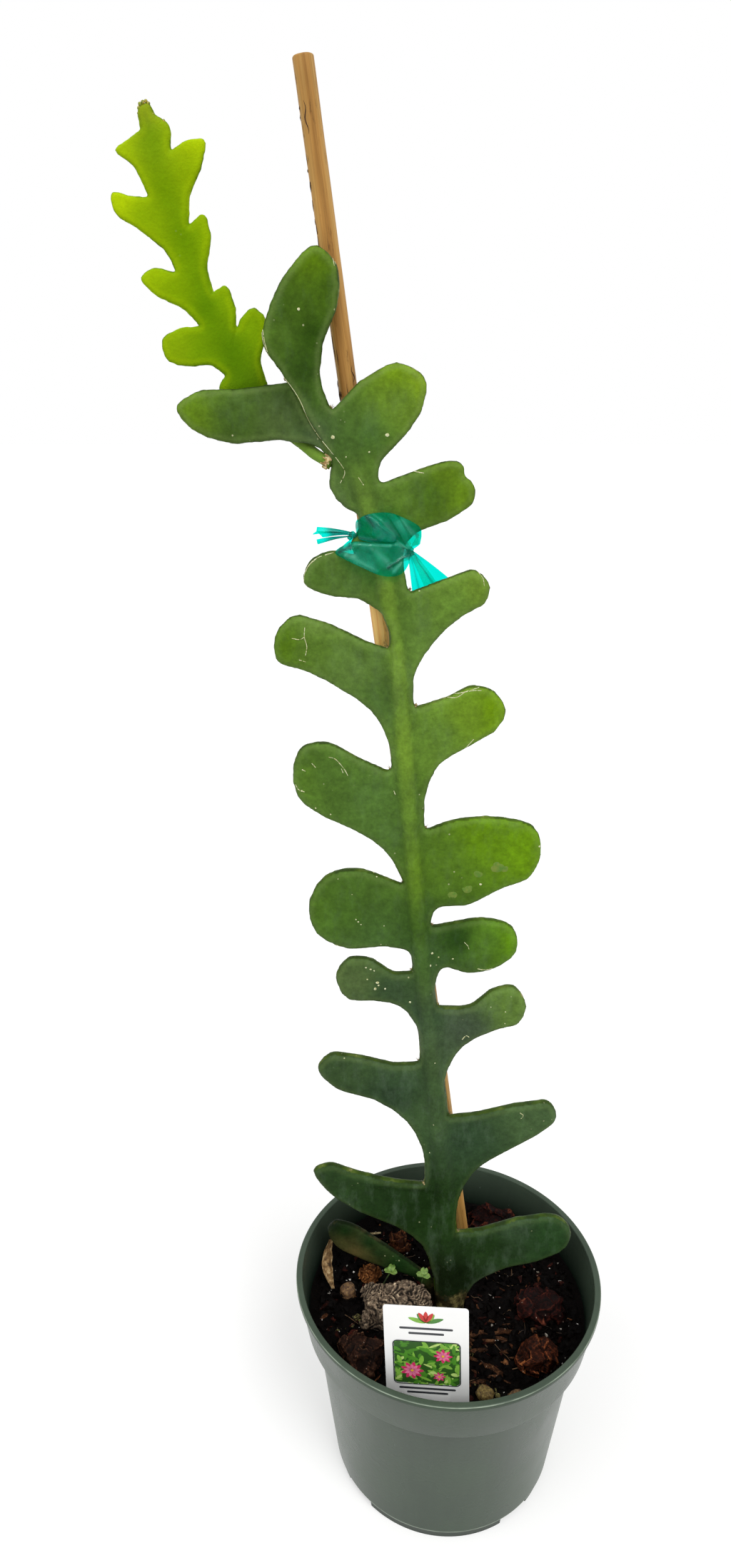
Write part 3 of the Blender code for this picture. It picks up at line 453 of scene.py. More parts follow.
def blendTones(places, look):
    # the colour at each place, where every tone counts for its nearness
    weights = 0.0
    colour = np.zeros((len(places), 3))
    for x, s, shade in look["tones"]:
        near = 1 / (np.hypot(places[:, 0] - x, places[:, 1] - s) + 3.0) ** 3.2
        weights = weights + near
        colour += near[:, None] * np.array(toLinear(shade)[:3])
    colour *= np.array(look["gain"]) / weights[:, None]
    colour[:, 2] *= np.interp(places[:, 1], [190, 235], [1.22, 1])     # older skin is bluer
    return colour


def skinOver(node, look, material):
    piece = evenMesh(node, look, material)
    mesh = piece.data
    places = np.array([(v.co.x / mm, (v.co.z - soilLine) / mm) for v in mesh.vertices])
    inward = distanceToEdge(mesh)
    aside = distanceToLine(places, look["middle"])
    foot, low, full, top, end = look["ribSpan"]
    strength = np.interp(places[:, 1], [foot, low, full, top, end], [0, 0.25, 1, 1, 0])
    ridge = np.exp(-(aside / look["ribWidth"]) ** look["ribEdge"])
    beside = np.exp(-(aside - look["ribWidth"] - 1.4) ** 2)
    colour = blendTones(places, look)
    # painted shade in a band along each side of the rib
    colour *= (1 - look["ribShade"] * beside * strength)[:, None]
    # how far the skin stands over the solid: a pillow with a rib, gentle waves and a ragged edge
    waves = np.array([0.32 * noise.noise(v.co / (16 * mm)) + 0.12 * noise.noise(v.co / (5 * mm))
                      for v in mesh.vertices])
    lift = (look["swell"] + look["pillow"] * (1 - np.exp(-inward / 5)) + waves * np.minimum(1, inward / 3)
            + look["ribHeight"] * ridge * np.interp(places[:, 1], [foot, low, top, end], [0, 1, 1, 0]))
    ragged = np.array([noise.noise(v.co / (1.7 * mm)) for v in mesh.vertices])
    lift += 0.2 * ragged * np.exp(-inward)
    normals = np.array([v.normal for v in mesh.vertices])
    spots = np.array([v.co for v in mesh.vertices]) + normals * lift[:, None] * mm
    mesh.vertices.foreach_set("co", spots.ravel())
    # the pale band just inside the edge, partly thin flesh and partly a painted highlight, is fainter low on
    # the stem
    paleness = np.interp(places[:, 1], [60, 140, 400, 440], [0.3, 0.5, 0.6, 1])
    values = {"margin": 1 - inward / 1.2, "rib": ridge * strength * 0.5,
              "thinAndSheen": 0.22 * np.exp(-((inward - 1.7) / 0.9) ** 2) * paleness}
    for key, numbers in values.items():
        paint(piece, key, np.clip(numbers, 0, 1).astype(np.float32))
    layer = mesh.attributes.new("tone", "FLOAT_COLOR", "POINT")
    layer.data.foreach_set("color", np.c_[colour, np.ones(len(colour))].astype(np.float32).ravel())
    mesh.update()
    return piece


stem = skinOver("cactus_stem", stemLook, fleshMaterial("cactusEpidermis", stemLook))
dress(stem, "stem_skin", "cactus_stem")
shoot = skinOver("new_shoot", shootLook, fleshMaterial("youngEpidermis", shootLook))
dress(shoot, "young_skin", "new_shoot")
basal = skinOver("basal_shoot", basalLook, fleshMaterial("oldEpidermis", basalLook))
dress(basal, "old_skin", "basal_shoot")
print("plant skins:", len(stem.data.polygons), len(shoot.data.polygons), len(basal.data.polygons))

stemShape = bmesh.new()
stemShape.from_mesh(stem.data)
stemTree = BVHTree.FromBMesh(stemShape)


def onFace(x, s, lift=0.0):
    # the point of the stem's front face at a place in the plant's frame
    start = Vector((x * mm, -0.3, soilLine + s * mm))
    spot, normal, _, _ = stemTree.ray_cast(start, Vector((0, 1, 0)))
    if spot is None:
        spot, normal, _, _ = stemTree.find_nearest(Vector((start.x, leanBack * s * mm, start.z)))
    return spot + normal * lift * mm, normal


# Marks of age on the stem, each at its x and height above the mix.
marks = {
    "specks": [(-65.6, 468.8, 1.0), (-53.8, 424.9, 1.3), (-33.3, 425.7, 1.3), (-48.9, 417.8, 0.6),
               (-40.1, 419.6, 0.6), (-20.1, 367, 0.6), (8.8, 239.6, 1.2), (-11.6, 205.8, 1.2),
               (-8.7, 203.8, 0.9), (-12.3, 200, 1.0), (-2.3, 202.9, 0.8), (-41.3, 198.7, 0.8),
               (-39.2, 197.8, 0.9), (-37.6, 197, 0.8), (-40.7, 192.8, 0.8), (-36.1, 191, 1.2),
               (-37.1, 187.8, 1.3), (-35.6, 189.6, 0.9), (-32.6, 187.8, 0.9), (-21.2, 180.7, 1.0),
               (-37.8, 244.3, 0.9), (-36.6, 242.8, 0.8), (-47.4, 234.9, 0.6), (-53.5, 242, 0.5),
               (-45.7, 222.9, 0.7), (-44.7, 221.7, 0.8), (-43.5, 220.4, 0.6), (-33.3, 219.6, 0.5),
               (-54.6, 209.6, 1.5), (-53.4, 209.2, 1.2), (22.4, 176.2, 0.5), (22.5, 169.9, 0.6),
               (15.7, 178.5, 0.5), (-62.8, 274.6, 0.9), (-68.5, 282.4, 0.8), (-56.4, 271.9, 0.7),
               (33.9, 256.7, 0.8), (-9.3, 150.3, 0.6), (-10.6, 97.5, 0.6)],
    "lines": [
        [(-76.4, 451), (-70.2, 444.1), (-66.1, 438.1), (-63, 431), (-59.8, 425.9), (-55.6, 420.8),
         (-51.3, 415.6), (-49.4, 412), (-51.4, 407.6)],
        [(-22.9, 412.4), (-19.2, 411.9)], [(-44.2, 410.4), (-42.2, 407.6)],
        [(-65.6, 366.8), (-65.9, 369.8), (-65.5, 373.8), (-63.6, 377.2), (-60.5, 379.9), (-54, 382)],
        [(-65.5, 373.8), (-63.6, 377.2), (-60.5, 379.9)],
        [(-79.0, 464.6), (-79.2, 460.1), (-78.4, 456.5), (-77.3, 452.2), (-76, 449.2), (-74.4, 447)],
        [(-78.9, 462), (-78.2, 457.5), (-77, 453)], [(-54.6, 487.4), (-53.2, 485.2), (-52.6, 482.6)],
        [(-60.5, 489.6), (-57.5, 489.2), (-55, 488), (-53.2, 486), (-52.2, 483.6)],
        [(-65.9, 352.5), (-66.1, 348.6), (-65.2, 344.7), (-65.8, 341)],
        [(-66.1, 348.6), (-68, 347.6), (-71.2, 348)], [(-68.5, 339.1), (-65.8, 338.3)],
        [(-7.8, 323.2), (-3.8, 323.6), (0.1, 326), (5.2, 327.4)], [(-5, 324.6), (2, 326.2), (6.5, 326.2)],
        [(-56.9, 297.7), (-54.4, 297), (-52.2, 294.8), (-50.1, 291.9), (-48.7, 289)],
        [(-64.1, 294.8), (-62.5, 293)], [(-68.3, 291.9), (-66.8, 291.2)],
        [(-71.2, 285), (-69.9, 282.8), (-67.4, 282)], [(-51.7, 292.7), (-50.9, 290.8)],
        [(0.9, 302.1), (3.7, 305.6)], [(-29.5, 283), (-28.6, 280.6)],
        [(9, 198), (12, 197.4), (15.7, 198.2)], [(2.5, 211.5), (4.2, 209.6), (4.8, 207.9)],
        [(3.2, 161), (4.9, 163), (6.4, 162.2)], [(3, 374.2), (4.9, 372), (5.5, 369)],
        [(32, 120.4), (33.6, 118.8), (32.6, 117)],
    ],
    "rings": [(-3.4, 234.5, 2.2), (3.1, 237.6, 2.4), (7.4, 244.3, 2.4), (15.8, 247.5, 3.0),
              (19.5, 246.4, 2.0)],
    # at the foot of each notch between two lobes
    "areoles": [(4.6, 48.4), (-1.4, 117.4), (-8.4, 177.8), (-12.6, 218.4), (-16, 264.6),
                (-21.4, 319.2), (-24.2, 366.6), (-54.6, 434.8), (-44, 381.4), (-32, 343),
                (-30.5, 291), (-24.2, 239), (-20, 195.6), (-16.6, 147.2), (-12.6, 77.8),
                (-72.8, 444.8)],
}


def makeMarks():
    # Dry wound cork: pale, matt and slightly raised.
    cork = grainyFinish("woundCork", "#D6D8A4", 0.85, 0.8, 4.0, [(0.3, "#B4B271"), (0.7, "#E8EBC6")],
                        relief=0.3)
    draw = random.Random(5)
    bm = bmesh.new()
    for x, s, size in marks["specks"]:
        spot, normal = onFace(x, s)
        made = bmesh.ops.create_icosphere(
            bm, subdivisions=2, radius=size / 2 * mm,
            matrix=Matrix.Translation(spot) @ facing(normal)
            @ Matrix.Diagonal((draw.uniform(0.8, 1.3), draw.uniform(0.7, 1.1), 0.3, 1)))
        roughen(made["verts"], 0.6, 0.12 * size)
    for line in marks["lines"]:
        route = [onFace(p.x, p.y)[0] for p in curveThrough([(*p, 0) for p in line], 12)]
        first = 0
        while first < len(route) - 2:      # the scar breaks off here and there
            last = min(len(route) - 1, first + draw.randint(3, 14))
            radii = (draw.uniform(0.1, 0.24) * mm, draw.uniform(0.06, 0.2) * mm)
            addTube(bm, route[first:last + 1], radii, 5)
            first = last + draw.randint(0, 2)
    dress(newPiece("woundSpecks", bm, cork), "stem_skin")


def makeHealedRings():
    # Healed spots where water lay: low, ringed and brownish.
    healed = grainyFinish("healedRings", "#76813A", 0.55, 1.6, 4.0, [(0.35, "#4C760E"), (0.65, "#6B7E22")])
    bm = bmesh.new()
    for x, s, radius in marks["rings"]:
        spot, normal = onFace(x, s, -0.12)
        face = Matrix.Translation(spot) @ facing(normal)
        made = bmesh.ops.create_icosphere(bm, subdivisions=4, radius=radius * mm,
                                          matrix=face @ Matrix.Diagonal((1, 0.8, 0.12, 1)))["verts"]
        for v in made:
            away = (v.co - spot).length / (radius * mm)
            v.co += normal * (0.07 * math.cos(2.4 * math.tau * away) * (1 - away)) * mm
            v.co += noise.noise_vector(v.co / (2.2 * mm)) * 0.3 * mm * away
    dress(newPiece("healedRings", bm, healed), "stem_skin")


def makeAreoles():
    # Felt of short hairs and a few bristles: brown, dull and dry.
    felt = grainyFinish("areoleFelt", "#8E7A4E", 0.95, 0.7, 3.0, [(0.35, "#4A3A1E"), (0.65, "#B7A473")])
    draw = random.Random(9)
    middles, heights = zip(*stemLook["middle"])
    bm = bmesh.new()
    for x, s in marks["areoles"]:
        middle = Vector((x * mm, (leanBack * s + draw.uniform(-0.6, 0.6)) * mm, soilLine + s * mm))
        middle = stemTree.find_nearest(middle)[0]
        for _ in range(5):
            spot = middle + Vector([draw.uniform(-0.5, 0.5) * mm for _ in range(3)])
            made = bmesh.ops.create_icosphere(bm, subdivisions=2, radius=draw.uniform(0.25, 0.55) * mm,
                                              matrix=Matrix.Translation(spot))
            roughen(made["verts"], 0.5, 0.22)
        outwards = -1 if x < np.interp(s, heights, middles) else 1
        for _ in range(7):
            tip = middle + Vector((outwards * draw.uniform(-0.4, 1.6), draw.uniform(-1.3, 0.9),
                                   draw.uniform(0.3, 2.2))) * mm
            addTube(bm, [middle, tip], (0.09 * mm, 0.03 * mm), 5)
    dress(newPiece("areoles", bm, felt), "stem_skin")


makeMarks()
makeHealedRings()
makeAreoles()
print("marks and areoles")


# Where the young shoot broke out, a ruff of torn corky skin stands round its neck; its growing
# tip carries tiny beads.
neck = {"line": [(-54.9, 415.0), (-57.2, 416.3), (-60.5, 418.0), (-64, 420.4), (-67.5, 423.2)],
        "radii": (2.0, 2.35), "tone": "#6F9136", "ruffAt": (-55.9, 415.6), "scales": 30,
        "scaleLength": (1.0, 3.0), "alongNeck": (-0.85, 0.2, 0.48)}
shootBeads = [(-121.4, 536.0, 0.75), (-120.4, 536.6, 0.7), (-119.3, 536.9, 0.65), (-121.9, 534.8, 0.7),
              (-118.4, 536.2, 0.6), (-121.0, 534.4, 0.6), (-119.8, 535.2, 0.7), (-117.2, 533.0, 0.5),
              (-113.4, 530.9, 0.55), (-112.4, 529.2, 0.5), (-112.3, 525.6, 0.5), (-122.1, 533.2, 0.55)]


def shootDepth(x):
    # how far behind the stem's plane the shoot stands, as it sweeps back from its neck
    return 13.5 * ease((-51 - x) / 24)


def makeNeck():
    young = bpy.data.materials["youngEpidermis"]
    bm = bmesh.new()
    line = [Vector((p.x, shootDepth(p.x) + leanBack * p.y, soilLine / mm + p.y)) * mm
            for p in curveThrough([(*p, 0) for p in neck["line"]])]
    addTube(bm, line, [r * mm for r in neck["radii"]], 20)
    roughen(bm.verts, 3, 0.15)
    piece = newPiece("shootNeck", bm, young, sharp=60)
    tone = piece.data.attributes.new("tone", "FLOAT_COLOR", "POINT")
    tone.data.foreach_set("color", toLinear(neck["tone"]) * len(piece.data.vertices))
    dress(piece, "young_skin")


def makeRuff():
    # Torn bud scales: dry, brown and papery.
    scale = grainyFinish("budScale", "#B99C66", 0.9, 1.1, 3.0,
                         [(0.3, "#5A3F1E"), (0.5, "#B4935C"), (0.68, "#E6D6AA")])
    draw = random.Random(3)
    x, s = neck["ruffAt"]
    middle = Vector((x, shootDepth(x) + leanBack * s, soilLine / mm + s)) * mm
    along = Vector(neck["alongNeck"]).normalized()
    turn = facing(along)
    bm = bmesh.new()
    for k in range(neck["scales"]):
        angle = math.tau * k / neck["scales"]
        side = turn @ Vector((math.cos(angle), math.sin(angle), 0))
        root = middle + side * draw.uniform(1.7, 2.5) * mm - along * draw.uniform(0.4, 1.3) * mm
        tip = root + (along * draw.uniform(*neck["scaleLength"]) + side * draw.uniform(0.0, 0.6)) * mm
        made = bmesh.ops.create_cone(bm, segments=6, radius1=0.6 * mm, radius2=0.2 * mm,
                                     depth=(tip - root).length, cap_ends=True,
                                     matrix=Matrix.Translation((root + tip) / 2) @ facing(tip - root))
        roughen(made["verts"], 0.7, 0.25)
    dress(newPiece("budRuff", bm, scale), "young_skin")


def makeBeads():
    # Unopened areoles at the growing tip: waxy, olive to amber.
    bead = grainyFinish("tipBeads", "#8C8A22", 0.4, 0.9, 2.0,
                        [(0.35, "#4C5A12"), (0.5, "#8E9A1E"), (0.65, "#C2A24A")])
    bm = bmesh.new()
    for x, s, radius in shootBeads:
        depth = shootDepth(x) - 2.0 * ease((s - 480) / 70) - 0.6
        place = Matrix.Translation(Vector((x, depth + leanBack * s, soilLine / mm + s)) * mm)
        made = bmesh.ops.create_icosphere(bm, subdivisions=2, radius=radius * mm, matrix=place)
        roughen(made["verts"], 0.9, 0.12)
    dress(newPiece("tipBeads", bm, bead, sharp=0), "young_skin")


makeNeck()
makeRuff()
makeBeads()
print("the young shoot's neck and tip")


# Bamboo stake

stake = {"foot": (13.6, 19.0), "lean": (-0.1398, 0.0125), "buried": 60, "top": 549,
         "radii": (2.62, 3.85), "sides": 36, "rings": 90, "dashes": 34, "dashSpan": (425, 544),
         # drying cracks: x, height and length
         "cracks": [(-47.3, 436, 15), (-46.2, 446.5, 7), (-62.2, 530, 10)]}


def bambooMaterial():
    # Dried bamboo split, sanded and left bare: long grain, a satin sheen and dark weathered streaks.
    cane = newMaterial("driedBamboo", "#B4874F", 0.5, {"Specular IOR Level": 0.2})
    where = addNode(cane, "TexCoord")["Object"]
    tilted = addNode(cane, "Mapping", {"Vector": where,
                                       "Rotation": (0, math.atan(-stake["lean"][0]), 0)})[0]
    longGrain = addNode(cane, "Mapping", {"Vector": tilted, "Scale": (1, 1, 0.02)})[0]
    fibres = addNode(cane, "TexNoise", {"Vector": longGrain, "Scale": per(0.55), "Detail": 4.0})[0]
    bands = addNode(cane, "TexNoise", {"Vector": longGrain, "Scale": per(2.6), "Detail": 3.0})[0]
    colour = addNode(cane, "ValToRGB", {"Fac": bands},
                     [(0.3, "#8E602A"), (0.48, "#B68645"), (0.62, "#C69A56"), (0.8, "#AC7C3E")])[0]
    lines = addNode(cane, "ValToRGB", {"Fac": fibres}, [(0.3, 0.72), (0.6, 1.08)])[0]
    colour = addNode(cane, "MixRGB", {"Fac": 0.75, "Color1": colour, "Color2": lines},
                     blend_type="MULTIPLY")[0]
    blotMap = addNode(cane, "Mapping", {"Vector": tilted, "Scale": (1, 1, 0.16)})[0]
    blots = addNode(cane, "TexNoise", {"Vector": blotMap, "Scale": per(2.2), "Detail": 5.0,
                                       "Roughness": 0.7})[0]
    blots = addNode(cane, "ValToRGB", {"Fac": blots}, [(0.60, 0.0), (0.70, 0.75)])[0]
    colour = addNode(cane, "MixRGB", {"Fac": blots, "Color1": colour,
                                      "Color2": toLinear("#4A2E16")})[0]
    weather = addNode(cane, "TexNoise", {"Vector": tilted, "Scale": per(40), "Detail": 2.0})[0]
    weather = addNode(cane, "ValToRGB", {"Fac": weather}, [(0.3, 0.8), (0.7, 1.1)])[0]
    colour = addNode(cane, "MixRGB", {"Fac": 0.8, "Color1": colour, "Color2": weather},
                     blend_type="MULTIPLY")[0]
    # painted light: the stretch behind the upper stem is made paler, lifting it out of the stem's shade
    height = addNode(cane, "MapRange", {"Value": addNode(cane, "SeparateXYZ", {0: where})["Z"],
                                        "From Min": soilLine, "From Max": soilLine + 600 * mm})[0]
    paintedLight = addNode(cane, "ValToRGB", {"Fac": height},
                     [(0.42, 0.1), (0.5, 0.95), (0.6, 0.95), (0.66, 0.0)])[0]
    colour = addNode(cane, "MixRGB", {"Fac": paintedLight, "Color1": colour, "Color2": (2.3, 2.6, 3.3, 1)},
                     blend_type="MULTIPLY")[0]
    bump = addNode(cane, "Bump", {"Height": fibres, "Strength": 0.35, "Distance": 0.0004})[0]
    feed(cane, {"Base Color": colour, "Normal": bump})
    return cane


def makeStake():
    cane = bambooMaterial()
    length = stake["buried"] + stake["top"]
    bm = bmesh.new()
    bmesh.ops.create_cone(bm, segments=stake["sides"], radius1=stake["radii"][0] * mm,
                          radius2=stake["radii"][1] * mm, depth=length * mm, cap_ends=True,
                          matrix=Matrix.Translation((0, 0, (length / 2 - stake["buried"]) * mm)))
    rim = [e for e in bm.edges if all(v.co.z > 0 for v in e.verts)]
    bmesh.ops.bevel(bm, geom=rim, offset=0.7 * mm, segments=3, affect="EDGES", profile=0.5, material=-1)
    for k in range(1, stake["rings"]):
        level = (length * k / stake["rings"] - stake["buried"]) * mm
        bmesh.ops.bisect_plane(bm, geom=bm.verts[:] + bm.edges[:] + bm.faces[:], dist=1e-7,
                               plane_co=(0, 0, level), plane_no=(0, 0, 1))
    for v in bm.verts:
        angle = math.atan2(v.co.y, v.co.x)
        flat = 1 - 0.035 * (0.5 + 0.5 * math.cos(5 * angle + 0.6)) \
            + 0.02 * noise.noise(Vector((math.cos(angle), math.sin(angle), v.co.z * 18)))
        dent = 1 - 0.03 * max(0.0, noise.noise(Vector((angle * 1.3, 4, v.co.z * 60))))
        v.co.x *= flat * dent
        v.co.y *= flat * dent
    along = Vector((*stake["lean"], 1))
    foot = Matrix.Translation((stake["foot"][0] * mm, stake["foot"][1] * mm, soilLine))
    stretch = Matrix.Diagonal((1, 1, along.length, 1))
    bmesh.ops.transform(bm, matrix=foot @ facing(along) @ stretch, verts=bm.verts)
    piece = newPiece("bambooStake", bm, cane)
    dress(piece, "bamboo", "bamboo_stake")
    return piece


def makeStakeCracks(cane):
    # Drying cracks, narrow and open, one long and two short: their darkness is painted shadow, laid on the
    # surface as thin dark strands; the same dark also makes the flecks of dark skin below.
    dark = grainyFinish("crackShadowAndSkinFlecks", "#2A1609", 0.9, 1.5, 2.0, [(0.35, "#170B04"), (0.7, "#4A2B13")])
    tree = BVHTree.FromObject(cane, bpy.context.evaluated_depsgraph_get())
    bm = bmesh.new()
    for x, s, length in stake["cracks"]:
        points = []
        for k in range(13):
            u = k / 12
            across = stake["lean"][0] * length * (u - 0.5) + 0.35 * math.sin(9 * u + x)
            spot = Vector(((x + across) * mm, -0.3, soilLine + (s + length * (u - 0.5)) * mm))
            points.append(tree.ray_cast(spot, Vector((0, 1, 0)))[0])
        half = len(points) // 2
        addTube(bm, points[:half + 1], (0.04 * mm, 0.26 * mm), 6)
        addTube(bm, points[half:], (0.26 * mm, 0.04 * mm), 6)
    draw = random.Random(8)
    for _ in range(stake["dashes"]):    # flecks of dark skin left along one side
        low, angle = draw.uniform(*stake["dashSpan"]), math.radians(draw.gauss(205, 13))
        ends = []
        for s in (low, low + draw.uniform(1.2, 6.0)):
            reach = stake["radii"][1] * 0.97
            ends.append(Vector((stake["foot"][0] + stake["lean"][0] * s + reach * math.cos(angle),
                                stake["foot"][1] + stake["lean"][1] * s + reach * math.sin(angle),
                                soilLine / mm + s)) * mm)
        ends[1:1] = [ends[0].lerp(ends[1], 0.5)]
        thick = draw.uniform(0.1, 0.32) * mm
        addTube(bm, ends[:2], (0.04 * mm, thick), 5)
        addTube(bm, ends[1:], (thick, 0.04 * mm), 5)
    dress(newPiece("stakeCracks", bm, dark), "bamboo")


makeStakeCracks(makeStake())
print("stake")


# Plastic tie tape

tie = {
    # two turns of tape round stem and stake, one over the other: (x, depth, lower height, upper height)
    "lowerTurn": [(-53.2, -0.4, 381.2, 382.2), (-52.2, -3.0, 380.9, 383.6), (-50, -4.2, 380.0, 385.0),
                  (-46.6, -5.2, 378.4, 386.6), (-42, -6.0, 376.5, 386.6), (-37.5, -6.6, 374.5, 386.1),
                  (-33, -6.5, 373.5, 386.0), (-29, -5.6, 373.7, 386.4), (-26, -3.8, 375.2, 385.0),
                  (-24.2, -0.8, 378.6, 383.6), (-24.8, 3.4, 378, 385), (-29, 9.6, 376, 387),
                  (-35, 12.9, 376, 387), (-41, 13.4, 378, 387), (-46.4, 9.8, 380, 386),
                  (-50.6, 4.2, 380.6, 383.6)],
    "upperTurn": [(-44.6, -0.8, 388.0, 393.6), (-43.4, -3.4, 387, 395.4), (-40, -4.9, 386.4, 397.0),
                  (-36, -5.5, 385.6, 397.6), (-31.7, -5.5, 385.0, 397.4), (-27.8, -4.9, 384.2, 396),
                  (-23.6, -3.9, 383.4, 394), (-20.4, -2.4, 385, 391.8), (-20.2, 0, 385, 390.5),
                  (-22.2, 3.4, 384, 391), (-27, 9.2, 384, 394), (-34, 12.6, 385, 396),
                  (-39.5, 13.0, 386, 395.4), (-43.2, 10.2, 387, 394.3), (-45.0, 4, 388, 393.4)],
    "film": 0.12,
    # sharp folds run between two points (x, height): their height and half width
    "folds": [((-42, 397), (-30, 388.3), 1.2, 0.9), ((-32.9, 397.5), (-24.1, 384.2), 1.3, 0.8),
              ((-30.4, 397.5), (-22.6, 386), -0.9, 0.9), ((-38.6, 393), (-38.4, 389), 0.7, 0.8),
              ((-38.6, 389), (-31, 386.4), 0.9, 0.9), ((-48, 386.4), (-29.5, 386), -1.0, 0.8),
              ((-29.3, 386.8), (-24.8, 383.4), 1.2, 0.9), ((-33, 377), (-25.6, 381.3), 1.1, 0.8),
              ((-32.4, 376.4), (-27.2, 380), -0.8, 0.7), ((-49.5, 380.6), (-44.5, 385.6), 0.9, 1.4),
              ((-40.5, 384.8), (-34.8, 377.2), 0.8, 1.6), ((-36, 385), (-31, 378), -0.7, 1.2),
              ((-30.6, 374.4), (-27.6, 378.6), 0.6, 0.9), ((-52, 384.6), (-46.8, 383.2), 0.5, 0.8)],
    # pleats lie dark beside the folds, doubled film with painted shade in the creases: two ends, half width,
    # strength
    "pleats": [((-41.2, 396.2), (-37.6, 392.6), 1.3, 0.9), ((-37.6, 392.6), (-30.5, 387.6), 0.8, 0.8),
               ((-33.4, 393.5), (-30, 389.3), 1.2, 0.7), ((-46.4, 389.6), (-44.6, 392.5), 1.0, 0.7),
               ((-45, 387.9), (-36, 387.1), 0.7, 0.75), ((-32.8, 377.0), (-28.8, 379.5), 0.6, 0.9),
               ((-28.8, 379.5), (-25.6, 381.1), 0.6, 0.9), ((-26.6, 383), (-24.4, 380.6), 1.2, 0.8),
               ((-34.6, 380.4), (-31.6, 376.6), 1.0, 0.5), ((-24.8, 392), (-21.4, 388.4), 0.7, 0.6),
               ((-44, 377.6), (-38, 375.6), 0.7, 0.4), ((-51.8, 382.4), (-47.6, 384.6), 1.0, 1.0),
               ((-47.8, 386.2), (-47.2, 383.8), 0.5, 0.5), ((-44, 385.2), (-34, 383.4), 1.6, 0.35)],
    # milky places, painted highlights of the film's sheen with some whitening where it is stretched: two
    # ends, half width, strength
    "milkySheen": [((-45.8, 385.8), (-32, 385.2), 0.6, 0.55), ((-29.2, 386.2), (-25.2, 384.1), 0.7, 0.6),
              ((-48.8, 381.6), (-46.2, 381.0), 1.2, 0.8), ((-37.3, 383.4), (-33.2, 379.2), 1.1, 0.4),
              ((-30.4, 375.6), (-28, 378.0), 0.9, 0.55), ((-27.8, 394.4), (-23.8, 389.6), 1.1, 0.45),
              ((-38.6, 396.8), (-35.6, 395), 0.5, 0.4), ((-35.6, 395), (-30, 388.8), 0.35, 0.35),
              ((-44.8, 379.6), (-37, 375.6), 0.5, 0.25), ((-44, 381.6), (-34, 379), 3.6, 0.2),
              ((-36, 391), (-27, 393), 3.2, 0.18), ((-28, 379), (-27, 384), 2.4, 0.25),
              ((-44.8, 379.2), (-39, 377), 1.6, 0.3)],
    # a flap of the upper turn doubled back on itself, and the strip that crosses it
    "flap": [(-41.6, 396.6), (-38.6, 393), (-38.8, 389.6), (-35.5, 387), (-31.2, 386.6), (-29.8, 388),
             (-33.4, 391.6), (-37, 395.2)],
    "flapDepth": -6.6,
    "strip": [(-33.6, 397.3), (-30.8, 393.8), (-28.2, 389.6), (-25.2, 384.6), (-23.4, 384.2),
              (-25.4, 389.4), (-27.8, 393.8), (-30.4, 397.2)],
    "stripDepth": -7.0,
    # loose ends: the knot's end, then the far corners, how many pleats, how deep
    "ends": [((-46.6, -0.6, 389.2), (-61.9, -3.0, 388.7), (-60.2, -3.6, 391.7), 1, 0.7),
             ((-46.6, 0.2, 388.5), (-58.2, -1.4, 387.6), (-60.5, -2.0, 390.2), 1, 0.4),
             ((-46.8, 0.6, 387.8), (-60.3, 0.4, 384.5), (-60.7, -0.4, 386.5), 1, 0.5),
             ((-24.2, 1.0, 382.4), (-22.6, 5.4, 364.4), (-12.0, 5.6, 368.0), 1, 0.5),
             ((-23.8, 0.6, 382.2), (-17.4, 5.0, 366.4), (-6.4, 5.2, 369.6), 1, 0.6),
             ((-23.6, 0.2, 383.6), (-20.8, 0.6, 384.6), (-20.4, 0.4, 389.5), 1, 0.3)],
    # drawn-up knots: x, depth, height, radius, and how dark their pleats make them, doubled film with painted
    # shade
    "knotPleats": 0.55,
    "knots": [(-46.6, -1.2, 388.8, 1.2), (-47.6, -0.4, 387.6, 0.9), (-45.6, -2.2, 388.6, 0.7),
              (-24.0, -1.6, 382.8, 1.3), (-23.4, -0.2, 381.4, 1.0), (-24.9, -2.6, 383.6, 0.8)],
}


# Soft green PVC tie tape: see-through, darker where it is pleated and with painted shade in its creases,
# milky where it is stretched and with painted highlights of its sheen, with wet-looking folds.
def tapeMaterial():
    film = newMaterial("greenTieFilm", "#008A78", 0.22, {"Specular IOR Level": 0.36})
    where = addNode(film, "TexCoord")["Object"]
    cloudy = addNode(film, "TexNoise", {"Vector": where, "Scale": per(2.5), "Detail": 3.0})[0]
    colour = addNode(film, "ValToRGB", {"Fac": cloudy}, [(0.3, "#18A88A"), (0.7, "#22C4A2")])[0]
    pleatedAndShaded = addNode(film, "Attribute", attribute_name="pleatedAndShaded")["Fac"]
    colour = addNode(film, "MixRGB", {"Fac": pleatedAndShaded, "Color1": colour,
                                      "Color2": toLinear("#004E40")})[0]
    milkySheen = addNode(film, "Attribute", attribute_name="milkySheen")["Fac"]
    colour = addNode(film, "MixRGB", {"Fac": milkySheen, "Color1": colour,
                                      "Color2": toLinear("#62C0A0")})[0]
    crinkle = addNode(film, "TexNoise", {"Vector": where, "Scale": per(1.4), "Detail": 2.0})[0]
    bump = addNode(film, "Bump", {"Height": crinkle, "Strength": 0.15, "Distance": 0.0003})[0]
    feed(film, {"Base Color": colour, "Normal": bump})
    tint = addNode(film, "BsdfTransparent", {"Color": toLinear("#30F8F0")})[0]
    changed = addNode(film, "Math", {0: milkySheen, 1: pleatedAndShaded}, operation="MAXIMUM")[0]
    share = addNode(film, "MapRange", {"Value": changed, "To Min": 0.1, "To Max": 0.7})[0]
    mixed = addNode(film, "MixShader", {"Fac": share, 1: tint,
                                        2: film.node_tree.nodes["Principled BSDF"].outputs[0]})[0]
    film.node_tree.links.new(mixed, film.node_tree.nodes["Material Output"].inputs["Surface"])
    return film


